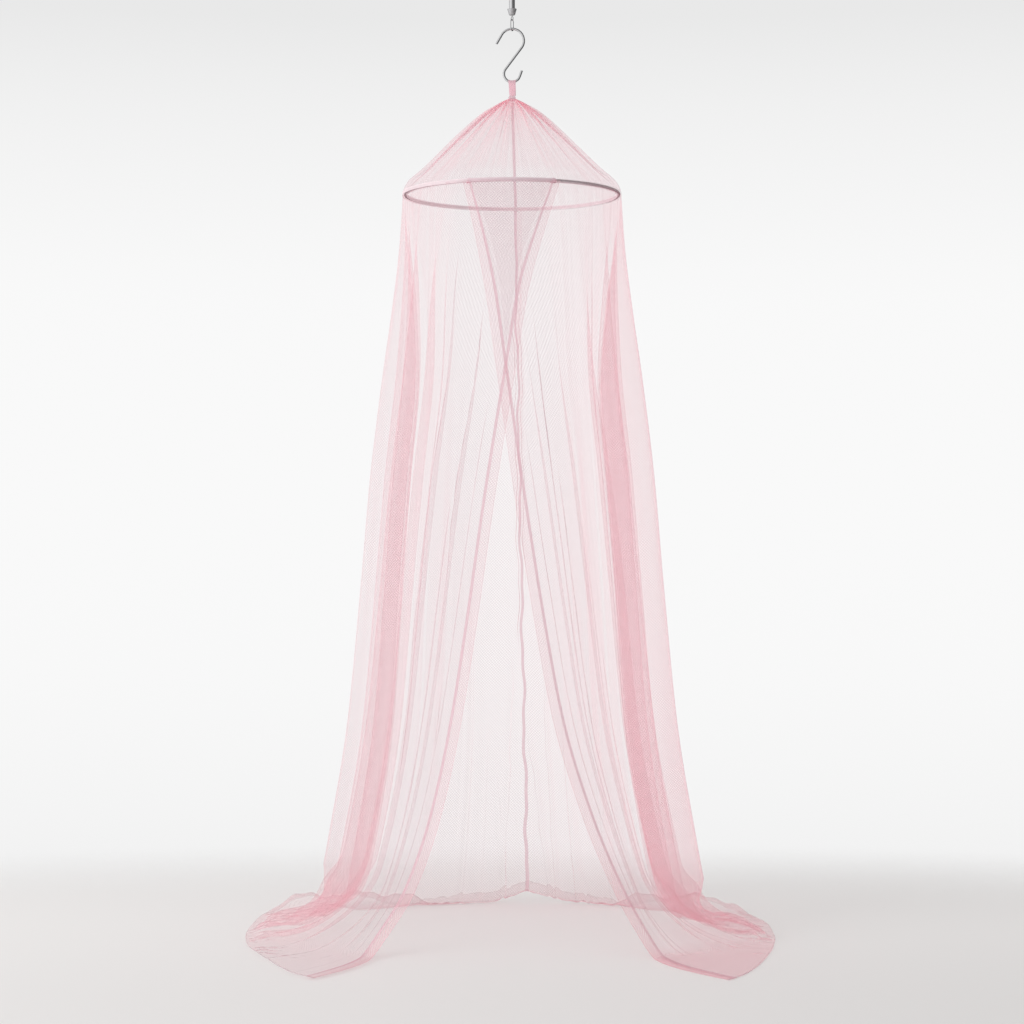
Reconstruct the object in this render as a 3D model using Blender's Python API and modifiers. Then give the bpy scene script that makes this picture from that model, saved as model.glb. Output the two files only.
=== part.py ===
"""Mosquito net canopy on its hoop, hung by a tape loop from an S-hook, a chain link and a ceiling rod.

Metres, +Z up, front towards -Y. The origin is the middle of the rod's flat top end. Heights in the tables are
above the floor that the net's hem lies on."""

from math import cos, pi, radians, sin

import bmesh
import bpy
import numpy as np

# ---- driving dimensions --------------------------------------------------------------------------
ROD_TOP = 2.700  # height of the rod's top end above the floor
ROD_RADIUS = 0.008
SEAT_GAP = 0.0003  # between pieces that touch

SOCKET_TOP = 2.601
SOCKET_BOTTOM = 2.584
SOCKET_RIM_RADIUS = 0.013
SOCKET_FOOT_RADIUS = 0.008
SOCKET_FLOOR = 0.003
SOCKET_BORE_GAP = 0.0006
SOCKET_LIP = 0.0022  # wall at the rim
SOCKET_EDGE = 0.0006  # rounding

EYE_WIRE = 0.0013  # radius
EYE_BEND = 0.0055
EYE_SHANK = 0.0012  # straight part under the socket
EYE_TURN = 120.0  # degrees of the eye's plane from +X, about the vertical
EYE_OPEN_HALF = 25.0  # degrees each side of the top where the eye's ring is open

LINK_WIRE = 0.0014
LINK_WIDTH = 0.0160  # outside
LINK_HEIGHT = 0.0340
LINK_TURN = 57.0

HOOK_WIRE = 0.00265
UPPER_BEND = 0.0330
LOWER_BEND = 0.0225
UPPER_BEND_HEIGHT = 2.5120  # height of the bend's centre
LOWER_BEND_HEIGHT = 2.4201
UPPER_BEND_END = 138.0  # degrees, counter-clockwise from +X, where the bend runs out into its tail
LOWER_BEND_END = -28.0
UPPER_TAIL = 0.0270
LOWER_TAIL = 0.0120

TAPE_THICKNESS = 0.0010
LOOP_WIDTH_TOP = 0.0200
LOOP_WIDTH_FOOT = 0.0150
LOOP_FOOT = 2.3595
LOOP_FOOT_SPREAD = 0.0025  # each leg's distance from the middle at the foot
LOOP_SLACK = 0.0004  # between the hook's bend and the tape over it
LOOP_BACK_SHIFT = 0.0035  # the back leg hangs a little to the right

GATHER_TOP = 2.3590
GATHER_BOTTOM = 2.3440
GATHER_RADIUS = 0.0085
GATHER_RIDGES = 9
GATHER_RIDGE = 0.0012

HOOP_HEIGHT = 2.083
HOOP_TUBE = 0.0040
HOOP_RADIUS = 0.2975  # to the middle of the tube
HOOP_STEPS = 72

CLOTH = 0.0016
HOOP_CLEARANCE = 0.0016
SEAM_GAP = 0.0012  # between the crown's lower edge and the skirt's upper edge
SKIRT_RADIUS = HOOP_RADIUS + HOOP_TUBE + HOOP_CLEARANCE + CLOTH / 2

TAPE_WIDTH = 0.007
STRIP_SHARE = 0.025  # share of the half skirt from the free front edge to the far side of its tape
TAPE_LIFT = 0.0005
SEAM_TAPE_WIDTH = 0.008
PANEL_LAP = 0.0070  # the left panel hangs this far outside the right one where they cross
LAP_AT_HOOP = 0.0050
LAP_SHARE = 0.25
LAP_FADE = 0.07
MOST_LEAN = 1.0  # of a fold's reach
FLOOR_LIFT = CLOTH / 2
SWEEP_FADE = 0.62  # share of the cloth over which the pulled-back front evens out
FALL = 0.80  # shares of the cloth's length: hanging, then turning on to the floor, then lying
TURN = 0.88
HANGING_ROWS = (0.0, 0.012, 0.05, 0.11, 0.19, 0.28, 0.37, 0.46, 0.55, 0.64, 0.72, FALL)
ROWS = HANGING_ROWS + (0.825, 0.852, TURN, 0.925, 0.965, 1.0)
WIDEST_COLUMN = 0.045
FIVE = (-1.0, -0.5, 0.0, 0.5, 1.0)  # the columns of one fold, as shares of its reach
NUDGE = 1e-4  # step in share and in fall that gives the cloth's direction
NEAR_SEAM = 0.01


def table(columns, *rows):
    """Named columns from rows of numbers."""
    return dict(zip(columns.split(), np.array(rows, float).T))


# The smooth skirt at each height: half width at the valleys of the side folds and at the crest of the deepest,
# reach in front of the hoop's middle and behind it, and the sideways drift of the back seam.
RING = table(
    "height side crest front back seam",
    (2.083, SKIRT_RADIUS, SKIRT_RADIUS, SKIRT_RADIUS, SKIRT_RADIUS, 0.010),
    (1.95, 0.291, 0.314, 0.304, 0.322, 0.011),
    (1.79, 0.274, 0.334, 0.305, 0.347, 0.013),
    (1.60, 0.266, 0.362, 0.306, 0.375, 0.017),
    (1.30, 0.290, 0.401, 0.306, 0.421, 0.022),
    (1.00, 0.314, 0.429, 0.305, 0.466, 0.028),
    (0.60, 0.345, 0.472, 0.303, 0.530, 0.036),
    (0.25, 0.402, 0.536, 0.300, 0.585, 0.043),
    (0.00, 0.460, 0.590, 0.298, 0.622, 0.046),
)
# The skirt isn't quite round under the hoop: how square its plan is all round, in what drop that comes about, how
# much squarer its back half is at the floor, and the height where that begins.
SQUARED = 0.15
SQUARED_IN = 0.4
BACK_SQUARED = 0.40
BACK_SQUARED_FROM = 0.9
# How far the middle of each front edge's tape lies to its own side, and how far the free edge stands past it.
FRONT_EDGE = table(
    "height left right strip",
    (2.083, -0.109, -0.114, 0.017),
    (1.95, -0.062, -0.078, 0.023),
    (1.80, -0.018, -0.046, 0.027),
    (1.59, 0.016, -0.016, 0.027),
    (1.24, 0.071, 0.034, 0.027),
    (0.91, 0.117, 0.086, 0.027),
    (0.64, 0.159, 0.137, 0.027),
    (0.39, 0.212, 0.213, 0.027),
    (0.18, 0.283, 0.300, 0.027),
    (0.00, 0.388, 0.395, 0.027),
)
# The hem on the floor, from the front corner (share 0) to the back seam (share 1): distance to its own side,
# distance back, how far it is held up, and the radius with which the cloth turns on to the floor.
HEM = {
    "left": table(
        "share out back lift bend",
        (0.00, 0.508, -0.510, 0.000, 0.15),
        (0.07, 0.567, -0.446, 0.000, 0.16),
        (0.16, 0.650, -0.270, 0.000, 0.20),
        (0.26, 0.733, -0.046, 0.000, 0.25),
        (0.38, 0.757, 0.163, 0.000, 0.26),
        (0.50, 0.752, 0.330, 0.000, 0.20),
        (0.60, 0.735, 0.460, 0.000, 0.14),
        (0.66, 0.660, 0.555, 0.000, 0.11),
        (0.72, 0.480, 0.600, 0.000, 0.03),
        (0.79, 0.300, 0.606, 0.002, 0.02),
        (0.86, 0.195, 0.622, 0.002, 0.01),
        (0.93, 0.075, 0.634, 0.004, 0.01),
        (1.00, -0.046, 0.633, 0.040, 0.01),
    ),
    "right": table(
        "share out back lift bend",
        (0.00, 0.556, -0.512, 0.000, 0.15),
        (0.07, 0.593, -0.419, 0.000, 0.16),
        (0.16, 0.661, -0.295, 0.000, 0.20),
        (0.26, 0.721, -0.064, 0.000, 0.24),
        (0.38, 0.742, 0.090, 0.000, 0.22),
        (0.50, 0.745, 0.250, 0.000, 0.13),
        (0.60, 0.720, 0.390, 0.000, 0.11),
        (0.66, 0.670, 0.500, 0.000, 0.09),
        (0.72, 0.520, 0.560, 0.000, 0.03),
        (0.79, 0.350, 0.580, 0.002, 0.02),
        (0.86, 0.258, 0.606, 0.006, 0.01),
        (0.93, 0.160, 0.626, 0.012, 0.01),
        (1.00, 0.046, 0.633, 0.040, 0.01),
    ),
}
# The main folds, front to back: where the crest is, how far it reaches each way (shares of the half skirt), its
# depth as a share of the side gap and in metres, the lean of its crest towards the back, the heights where it
# begins and is full, and the share of it that is left where the cloth lies on the floor.
FOLD_COLUMNS = "share reach of_gap depth lean begins full kept"
FOLDS = {
    "left": table(
        FOLD_COLUMNS,
        (0.100, 0.022, 0.00, 0.010, 0.018, 1.95, 1.20, 0.20),
        (0.205, 0.030, 0.00, 0.018, 0.036, 2.00, 1.20, 0.15),
        (0.300, 0.028, 0.20, 0.010, 0.020, 2.08, 1.60, 0.15),
        (0.385, 0.045, 0.66, 0.000, 0.000, 2.08, 1.90, 0.05),
        (0.475, 0.045, 0.62, 0.000, 0.000, 2.08, 1.90, 0.05),
        (0.565, 0.045, 1.00, 0.000, 0.000, 2.08, 1.90, 0.05),
        (0.650, 0.040, 0.60, 0.000, -0.010, 2.08, 1.90, 0.05),
        (0.800, 0.020, 0.00, 0.008, 0.014, 1.70, 1.00, 0.15),
        (0.905, 0.016, 0.00, 0.006, 0.010, 0.90, 0.40, 0.15),
    ),
    "right": table(
        FOLD_COLUMNS,
        (0.085, 0.016, 0.00, 0.010, 0.016, 2.00, 1.20, 0.20),
        (0.190, 0.020, 0.00, 0.010, 0.020, 2.00, 1.20, 0.20),
        (0.300, 0.038, 0.20, 0.020, 0.050, 2.08, 1.00, 0.12),
        (0.390, 0.045, 0.78, 0.000, 0.000, 2.08, 1.90, 0.05),
        (0.475, 0.040, 0.72, 0.000, 0.000, 2.08, 1.90, 0.05),
        (0.560, 0.045, 1.00, 0.000, 0.000, 2.08, 1.90, 0.05),
        (0.645, 0.040, 0.74, 0.000, -0.010, 2.08, 1.90, 0.05),
        (0.800, 0.020, 0.00, 0.008, 0.014, 1.70, 1.00, 0.15),
        (0.890, 0.016, 0.00, 0.008, 0.012, 0.90, 0.40, 0.15),
    ),
}
# How much of a fold is left along the floor share: its full depth above the floor, little at the hem.
KEPT = table("floor share", (0.0, 1.0), (0.10, 0.97), (0.25, 0.66), (0.42, 0.28), (0.70, 0.08), (1.0, 0.0))
FOLD_RISE = 0.45  # share of a fold's depth that stands up from the floor
# The crown's outline from the gather down to the hoop.
CROWN = table(
    "height radius",
    (2.3500, 0.0108),
    (2.3350, 0.0310),
    (2.3050, 0.0700),
    (2.2570, 0.1240),
    (2.2130, 0.1720),
    (2.1550, 0.2340),
    (2.1150, 0.2820),
    (2.0920, 0.2985),
    (HOOP_HEIGHT + SEAM_GAP / 2, SKIRT_RADIUS),
)
# The crown's folds fan out of the gather: angle from +X, reach each way in degrees, depth where deepest, how far
# the crest leans round, and the share of the way down where the fold has gone.
CROWN_FOLDS = table(
    "angle reach depth lean ends",
    (-8, 9, 0.018, 0.010, 0.98),
    (-30, 8, 0.010, 0.000, 0.75),
    (-52, 8, 0.008, 0.004, 0.80),
    (-74, 8, 0.008, 0.004, 0.90),
    (-106, 8, 0.008, -0.004, 0.80),
    (-128, 8, 0.009, -0.004, 0.95),
    (-150, 8, 0.010, 0.000, 0.85),
    (-172, 9, 0.018, -0.010, 0.98),
    (14, 9, 0.020, -0.008, 0.98),
    (38, 9, 0.012, 0.000, 0.80),
    (64, 9, 0.008, 0.000, 0.70),
    (116, 9, 0.008, 0.000, 0.70),
    (142, 9, 0.012, 0.000, 0.80),
    (166, 9, 0.020, 0.008, 0.98),
)
CROWN_ROWS = 9
CROWN_FILL = 9.0  # degrees between the columns where there is no fold
CROWN_SEAM_ANGLE = 88.0
MOST_SEAM_ANGLE = 5.0
MOST_CROWN_FOLD = 0.35  # of the radius there
MOST_CROWN_LEAN = 0.6  # of a fold's reach

OWN_SIDE = {"left": -1.0, "right": 1.0}

# Colour, roughness and metallic.
NET_FINISH = ((0.86, 0.55, 0.60, 1.0), 0.7, 0.0)
TAPE_FINISH = ((0.80, 0.38, 0.46, 1.0), 0.75, 0.0)
STEEL_FINISH = ((0.55, 0.55, 0.56, 1.0), 0.25, 1.0)


# ---- small helpers -------------------------------------------------------------------------------
def level(height):
    """Height above the floor as Z."""
    return height - ROD_TOP


def along(at, places, values):
    """Smooth curve through a table's column that never overshoots its rows."""
    if places[0] > places[-1]:
        places, values = places[::-1], values[::-1]
    at = np.clip(at, places[0], places[-1])
    step = np.diff(places)
    slope = np.diff(values) / step
    before, after = slope[:-1], slope[1:]
    both = before * after
    inner = np.where(both > 0, 2 * both / np.where(both > 0, before + after, 1.0), 0.0)
    tangent = np.concatenate([slope[:1], inner, slope[-1:]])
    i = np.clip(np.searchsorted(places, at, side="right") - 1, 0, len(step) - 1)
    t = (at - places[i]) / step[i]
    return (
        values[i] * (1 + 2 * t) * (1 - t) ** 2
        + step[i] * tangent[i] * t * (1 - t) ** 2
        + values[i + 1] * t * t * (3 - 2 * t)
        + step[i] * tangent[i + 1] * t * t * (t - 1)
    )


def ease(t):
    """0 below 0, 1 above 1, and smooth between."""
    t = np.clip(t, 0, 1)
    return t * t * (3 - 2 * t)


def unit(vectors):
    return vectors / np.maximum(np.linalg.norm(vectors, axis=-1, keepdims=True), 1e-12)


# ---- materials and objects -----------------------------------------------------------------------
def material(name, colour, roughness, metallic):
    made = bpy.data.materials.new(name)
    made.use_nodes = True
    shader = made.node_tree.nodes["Principled BSDF"]
    shader.inputs["Base Color"].default_value = colour
    shader.inputs["Roughness"].default_value = roughness
    shader.inputs["Metallic"].default_value = metallic
    made.diffuse_color = colour
    return made


def clear_scene():
    for obj in list(bpy.data.objects):
        bpy.data.objects.remove(obj, do_unlink=True)


def add_object(name, data, finish):
    obj = bpy.data.objects.new(name, data)
    bpy.data.collections["mosquito_net_canopy"].objects.link(obj)
    data.materials.append(material(name + "_finish", *finish))
    return obj


def mesh_object(name, points, faces, finish):
    data = bpy.data.meshes.new(name)
    data.from_pydata([tuple(map(float, p)) for p in points], [], faces)
    data.update()
    obj = add_object(name, data, finish)
    data.shade_smooth()
    return obj


def thicken(obj, thickness):
    """Equal wall on both sides of the sheet."""
    wall = obj.modifiers.new("Wall", "SOLIDIFY")
    wall.thickness = thickness
    wall.offset = 0.0
    wall.use_rim = True


def sheet_object(name, grid, thickness, finish, ring=False, turned=False):
    """A sheet through a grid of points, rows down and columns across, closed round if ring is set."""
    rows, columns = grid.shape[:2]
    across = columns if ring else columns - 1
    faces = []
    for r in range(rows - 1):
        for c in range(across):
            d = (c + 1) % columns
            face = (r * columns + c, r * columns + d, (r + 1) * columns + d, (r + 1) * columns + c)
            faces.append(face[::-1] if turned else face)
    obj = mesh_object(name, grid.reshape(-1, 3), faces, finish)
    thicken(obj, thickness)
    return obj


def wire_object(name, points, radius, finish, closed=False):
    """Round wire along the points."""
    data = bpy.data.curves.new(name, "CURVE")
    data.dimensions = "3D"
    data.bevel_depth = radius
    data.bevel_resolution = 2
    data.use_fill_caps = True
    line = data.splines.new("POLY")
    line.points.add(len(points) - 1)
    for point, place in zip(line.points, points):
        point.co = (*place, 1.0)
    line.use_cyclic_u = closed
    return add_object(name, data, finish)


def turned_object(name, profile, steps, finish):
    """A closed profile of (radius, z) pairs, top to bottom on its outer side, turned about Z."""
    data = bpy.data.meshes.new(name)
    points = [(radius, 0.0, z) for radius, z in profile]
    data.from_pydata(points, [(i, i + 1) for i in range(len(points) - 1)], [])
    obj = add_object(name, data, finish)
    turn = obj.modifiers.new("Turn", "SCREW")
    turn.steps = turn.render_steps = steps
    turn.use_merge_vertices = True
    turn.merge_threshold = 0.00005
    turn.use_smooth_shade = True
    return obj


def arc(centre, radius, start, end, count):
    """Points (x, z) along an arc, angles in degrees counter-clockwise from +X."""
    turns = [radians(start + (end - start) * i / (count - 1)) for i in range(count)]
    return [(centre[0] + radius * cos(a), centre[1] + radius * sin(a)) for a in turns]


def straight(start, angle, length):
    """Middle and end (x, z) of a straight bar, its angle in degrees counter-clockwise from +X."""
    a = radians(angle)
    return [(start[0] + t * length * cos(a), start[1] + t * length * sin(a)) for t in (0.5, 1.0)]


def upright(flat, turn):
    """Points (x, z) stood up in a vertical plane at an angle from +X."""
    a = radians(turn)
    return [(x * cos(a), x * sin(a), z) for x, z in flat]


# ---- hanging hardware ----------------------------------------------------------------------------
def add_rod():
    low = SOCKET_BOTTOM + SOCKET_FLOOR + SEAT_GAP
    bpy.ops.mesh.primitive_cylinder_add(
        vertices=32, radius=ROD_RADIUS, depth=ROD_TOP - low, location=(0, 0, level((ROD_TOP + low) / 2))
    )
    rod = bpy.context.active_object
    rod.name = rod.data.name = "ceiling_rod"
    for collection in list(rod.users_collection):
        collection.objects.unlink(rod)
    bpy.data.collections["mosquito_net_canopy"].objects.link(rod)
    rod.data.materials.append(material("ceiling_rod_finish", *STEEL_FINISH))


def add_socket():
    """Flared cup round the rod's lower end."""
    top, bottom = level(SOCKET_TOP), level(SOCKET_BOTTOM)
    bore = ROD_RADIUS + SOCKET_BORE_GAP
    profile = [
        (bore + SOCKET_LIP, top),
        (SOCKET_RIM_RADIUS - SOCKET_EDGE, top),
        (SOCKET_RIM_RADIUS, top - SOCKET_EDGE),
        (SOCKET_FOOT_RADIUS + SOCKET_EDGE, bottom + 2 * SOCKET_EDGE),
        (SOCKET_FOOT_RADIUS - SOCKET_EDGE, bottom),
        (0.0, bottom),
    ]
    inside = [(0.0, bottom + SOCKET_FLOOR), (bore, bottom + SOCKET_FLOOR)]
    turned_object("rod_socket", inside + profile, 28, STEEL_FINISH)


def add_eye():
    """Wire eye bent under the socket: a short shank, then a ring that is open at the top."""
    ring_bottom = link_top() - 2 * LINK_WIRE - SEAT_GAP - EYE_WIRE
    centre = (0.0, ring_bottom + EYE_BEND)
    ring = arc(centre, EYE_BEND, 90 - EYE_OPEN_HALF, 90 + EYE_OPEN_HALF - 360, 22)
    shank_top = level(SOCKET_BOTTOM) - SEAT_GAP
    neck = (ring[0][0] * 0.55, ring[0][1] + 0.0016)
    shank = [(0.0, shank_top), (0.0, shank_top - EYE_SHANK), (neck[0] * 0.4, neck[1] + 0.0009), neck]
    wire_object("socket_eye", upright(shank + ring, EYE_TURN), EYE_WIRE, STEEL_FINISH)


def link_top():
    """Z of the link's highest point: the hook hangs in its lower bend."""
    hook_underside = level(UPPER_BEND_HEIGHT + UPPER_BEND) - HOOK_WIRE
    return hook_underside - SEAT_GAP - 2 * LINK_WIRE + LINK_HEIGHT


def add_link():
    bend = LINK_WIDTH / 2 - LINK_WIRE
    high = link_top() - LINK_WIRE - bend
    low = link_top() - LINK_HEIGHT + LINK_WIRE + bend
    loop = arc((0.0, high), bend, 0, 180, 11) + arc((0.0, low), bend, 180, 360, 11)
    wire_object("chain_link", upright(loop, LINK_TURN), LINK_WIRE, STEEL_FINISH, closed=True)


def add_hook():
    """S of round bar: a tail, a wide bend, a straight slant, a small bend and a tail."""
    high, low = (0.0, level(UPPER_BEND_HEIGHT)), (0.0, level(LOWER_BEND_HEIGHT))
    between = high[1] - low[1]
    slant = np.degrees(np.arccos((UPPER_BEND + LOWER_BEND) / between))
    upper = arc(high, UPPER_BEND, UPPER_BEND_END, -90 + slant, 17)
    lower = arc(low, LOWER_BEND, 90 + slant, 360 + LOWER_BEND_END, 15)
    tail = straight(upper[0], UPPER_BEND_END + 90, UPPER_TAIL)[::-1]
    tip = straight(lower[-1], LOWER_BEND_END + 90, LOWER_TAIL)
    wire_object("s_hook", upright(tail + upper + lower + tip, 0.0), HOOK_WIRE, STEEL_FINISH)


def add_loop():
    """Tape folded over the hook's lower bend, its legs coming together at the gather."""
    across, turn_steps = 5, 7
    bend_low = LOWER_BEND_HEIGHT
    around = HOOK_WIRE + SEAT_GAP + LOOP_SLACK + TAPE_THICKNESS / 2
    columns = []
    for i in range(across):
        a = 2 * i / (across - 1) - 1
        x = a * LOOP_WIDTH_TOP / 2
        wire = bend_low - (LOWER_BEND**2 - x * x) ** 0.5
        foot = np.array([a * LOOP_WIDTH_FOOT / 2, 0.0, LOOP_FOOT])
        front = foot + (0.0, -LOOP_FOOT_SPREAD, 0.0)
        back = foot + (LOOP_BACK_SHIFT, LOOP_FOOT_SPREAD, 0.0)
        over = [
            np.array([x, -around * cos(pi * t / (turn_steps - 1)), wire + around * sin(pi * t / (turn_steps - 1))])
            for t in range(turn_steps)
        ]
        front_leg = [front + (over[0] - front) * t for t in (0.0, 0.35, 0.7)]
        back_leg = [over[-1] + (back - over[-1]) * t for t in (0.3, 0.65, 1.0)]
        columns.append(np.array(front_leg + over + back_leg) - (0.0, 0.0, ROD_TOP))
    grid = np.array(columns).transpose(1, 0, 2)
    sheet_object("hanging_loop", grid, TAPE_THICKNESS, TAPE_FINISH, turned=True)


def add_gather():
    """Bunched neck of the crown, ridged by its gathers."""
    profile = ((0.55, 1.0), (0.86, 0.86), (1.0, 0.60), (0.97, 0.34), (0.80, 0.12), (0.62, 0.0))
    count = GATHER_RIDGES * 3
    made = bmesh.new()
    rings = []
    for size, share in profile:
        ring = []
        for i in range(count):
            a = 2 * pi * i / count
            radius = (GATHER_RADIUS + GATHER_RIDGE * cos(GATHER_RIDGES * a)) * size
            z = level(GATHER_BOTTOM + (GATHER_TOP - GATHER_BOTTOM) * share)
            ring.append(made.verts.new((radius * cos(a), radius * sin(a), z)))
        rings.append(ring)
    for upper, lower in zip(rings, rings[1:]):
        for i in range(count):
            j = (i + 1) % count
            made.faces.new((upper[i], lower[i], lower[j], upper[j]))
    made.faces.new(rings[0])
    made.faces.new(rings[-1][::-1])
    data = bpy.data.meshes.new("crown_gather")
    made.to_mesh(data)
    made.free()
    add_object("crown_gather", data, TAPE_FINISH)


def add_hoop():
    bpy.ops.mesh.primitive_torus_add(
        major_segments=HOOP_STEPS,
        minor_segments=6,
        major_radius=HOOP_RADIUS,
        minor_radius=HOOP_TUBE,
        location=(0, 0, level(HOOP_HEIGHT)),
    )
    hoop = bpy.context.active_object
    hoop.name = hoop.data.name = "hoop"
    for collection in list(hoop.users_collection):
        collection.objects.unlink(hoop)
    bpy.data.collections["mosquito_net_canopy"].objects.link(hoop)
    hoop.data.materials.append(material("hoop_finish", *STEEL_FINISH))


# ---- crown ---------------------------------------------------------------------------------------
def crown_surface(angle, down, outwards=0.0):
    """Points of the crown: angle round it in degrees, down from 0 at the gather to 1 at the hoop."""
    places = np.linspace(0, 1, len(CROWN["height"]))
    height = along(down, places, CROWN["height"])
    plain = along(down, places, CROWN["radius"])
    radius = plain.copy()
    turn = np.array(angle, float)
    for i in range(len(CROWN_FOLDS["angle"])):
        fold = {name: column[i] for name, column in CROWN_FOLDS.items()}
        off = (angle - fold["angle"] + 180) % 360 - 180
        wave = np.cos(np.clip(off / fold["reach"], -1, 1) * pi / 2) ** 2
        swell = np.sin(pi * np.clip(down / fold["ends"], 0, 1) ** 0.7)
        radius += np.minimum(fold["depth"], MOST_CROWN_FOLD * plain) * wave * swell
        lean = np.degrees(fold["lean"] / plain)
        turn += np.clip(lean, -MOST_CROWN_LEAN * fold["reach"], MOST_CROWN_LEAN * fold["reach"]) * wave * swell
    slope = np.arctan2(-np.gradient(along(down, places, CROWN["height"]), axis=0), np.gradient(plain, axis=0))
    radius = radius + outwards * np.sin(slope)
    height = height + outwards * np.cos(slope)
    turn = np.radians(turn)
    return np.stack([radius * np.cos(turn), radius * np.sin(turn), height - ROD_TOP], -1)


def crown_grid(angles):
    """Angle and share of the way down of every point; the seam's columns keep the tape's width."""
    places = np.linspace(0, 1, len(CROWN["height"]))
    down = np.linspace(0, 1, CROWN_ROWS)
    half = np.degrees(SEAM_TAPE_WIDTH / 2 / along(down, places, CROWN["radius"]))
    half = np.minimum(half, MOST_SEAM_ANGLE)[:, None]
    plain = np.tile(angles, (CROWN_ROWS, 1))
    seam = np.hstack([CROWN_SEAM_ANGLE - half, np.full_like(half, CROWN_SEAM_ANGLE), CROWN_SEAM_ANGLE + half])
    return np.sort(np.hstack([plain, seam]), axis=1), seam, down[:, None]


def crown_angles():
    """Angles of the crown's columns: three on each fold and plain ones between, clear of the seam's."""
    folds = list(zip(CROWN_FOLDS["angle"], CROWN_FOLDS["reach"]))
    angles = {float(angle + reach * side) % 360 for angle, reach in folds for side in (-1, 0, 1)}
    angles = sorted(angles | {CROWN_SEAM_ANGLE - CROWN_FILL, CROWN_SEAM_ANGLE + CROWN_FILL})
    filled = []
    for a, b in zip(angles, angles[1:] + [angles[0] + 360]):
        steps = max(1, int(np.ceil((b - a) / CROWN_FILL)))
        filled += [a + (b - a) * k / steps for k in range(steps)]
    return [a for a in filled if abs(a - CROWN_SEAM_ANGLE) > MOST_SEAM_ANGLE]


def add_crown():
    angle, _, down = crown_grid(crown_angles())
    grid = crown_surface(angle, np.tile(down, (1, angle.shape[1])))
    sheet_object("crown_net", grid, CLOTH, NET_FINISH, ring=True, turned=True)


def add_crown_seam():
    """Tape along the crown's back seam, on the inside."""
    _, angle, down = crown_grid([])
    grid = crown_surface(angle, np.tile(down, (1, 3)), -(CLOTH / 2 + TAPE_LIFT + TAPE_THICKNESS / 2))
    sheet_object("crown_seam_tape", grid[1:-1], TAPE_THICKNESS, TAPE_FINISH, turned=True)


# ---- skirt ---------------------------------------------------------------------------------------
def ring_at(side, share, height):
    """Plan position of the smooth skirt at a height: share runs from the free front edge to the back seam."""
    columns = (RING[name] for name in ("side", "front", "back", "seam"))
    width, front, back, seam = (along(height, RING["height"], column) for column in columns)
    taped = along(height, FRONT_EDGE["height"], FRONT_EDGE[side])
    strip = along(height, FRONT_EDGE["height"], FRONT_EDGE["strip"])
    free = np.arcsin(np.clip((taped - strip) / width, -1, 1))
    sewn = np.arcsin(np.clip((taped + TAPE_WIDTH / 2) / width, -1, 1))
    first = np.arcsin((FRONT_EDGE[side][0] + TAPE_WIDTH / 2) / SKIRT_RADIUS)
    past = np.clip((share - STRIP_SHARE) / (1 - STRIP_SHARE), 0, 1)
    swept = np.clip(1 - past / SWEEP_FADE, 0, 1) ** 1.25
    angle = first + (pi - first) * past + (sewn - first) * swept
    angle = angle + (free - sewn) * np.clip(1 - share / STRIP_SHARE, 0, 1)
    angle = angle - OWN_SIDE[side] * np.arcsin(seam / width) * ease((share - 0.6) / 0.4)
    depth = np.cos(angle)
    squared = SQUARED * ease((HOOP_HEIGHT - height) / SQUARED_IN)
    squared = squared + np.where(depth < 0, BACK_SQUARED, 0.0) * ease(1 - height / BACK_SQUARED_FROM)
    depth = np.sign(depth) * np.abs(depth) ** (1 - squared)
    return OWN_SIDE[side] * width * np.sin(angle), (back - front) / 2 - (back + front) / 2 * depth


def smooth_skirt(side, share, fall):
    """The skirt without its folds, fall 0 at the hoop and 1 at the hem: points, height, floor share."""
    hem = HEM[side]
    foot_x, foot_y = ring_at(side, share, np.zeros_like(fall))
    trail_x = OWN_SIDE[side] * along(share, hem["share"], hem["out"]) - foot_x
    trail_y = along(share, hem["share"], hem["back"]) - foot_y
    trail = np.hypot(trail_x, trail_y)
    bend = np.minimum(along(share, hem["share"], hem["bend"]), 0.8 * trail)
    turn = np.clip((fall - FALL) / (TURN - FALL), 0, 1) * pi / 2
    top = HOOP_HEIGHT - SEAM_GAP / 2
    height = np.where(fall < FALL, top + (bend - top) * fall / FALL, bend * (1 - np.sin(turn)))
    run = bend * (1 - np.cos(turn)) + (trail - bend) * np.clip((fall - TURN) / (1 - TURN), 0, 1)
    x, y = ring_at(side, share, height)
    lift = along(share, hem["share"], hem["lift"]) * np.clip(1 - height / 0.5, 0, 1) ** 2
    points = np.stack([x + trail_x / trail * run, y + trail_y / trail * run, height + lift], -1)
    return points, height, np.clip((fall - FALL) / (1 - FALL), 0, 1)


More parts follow.
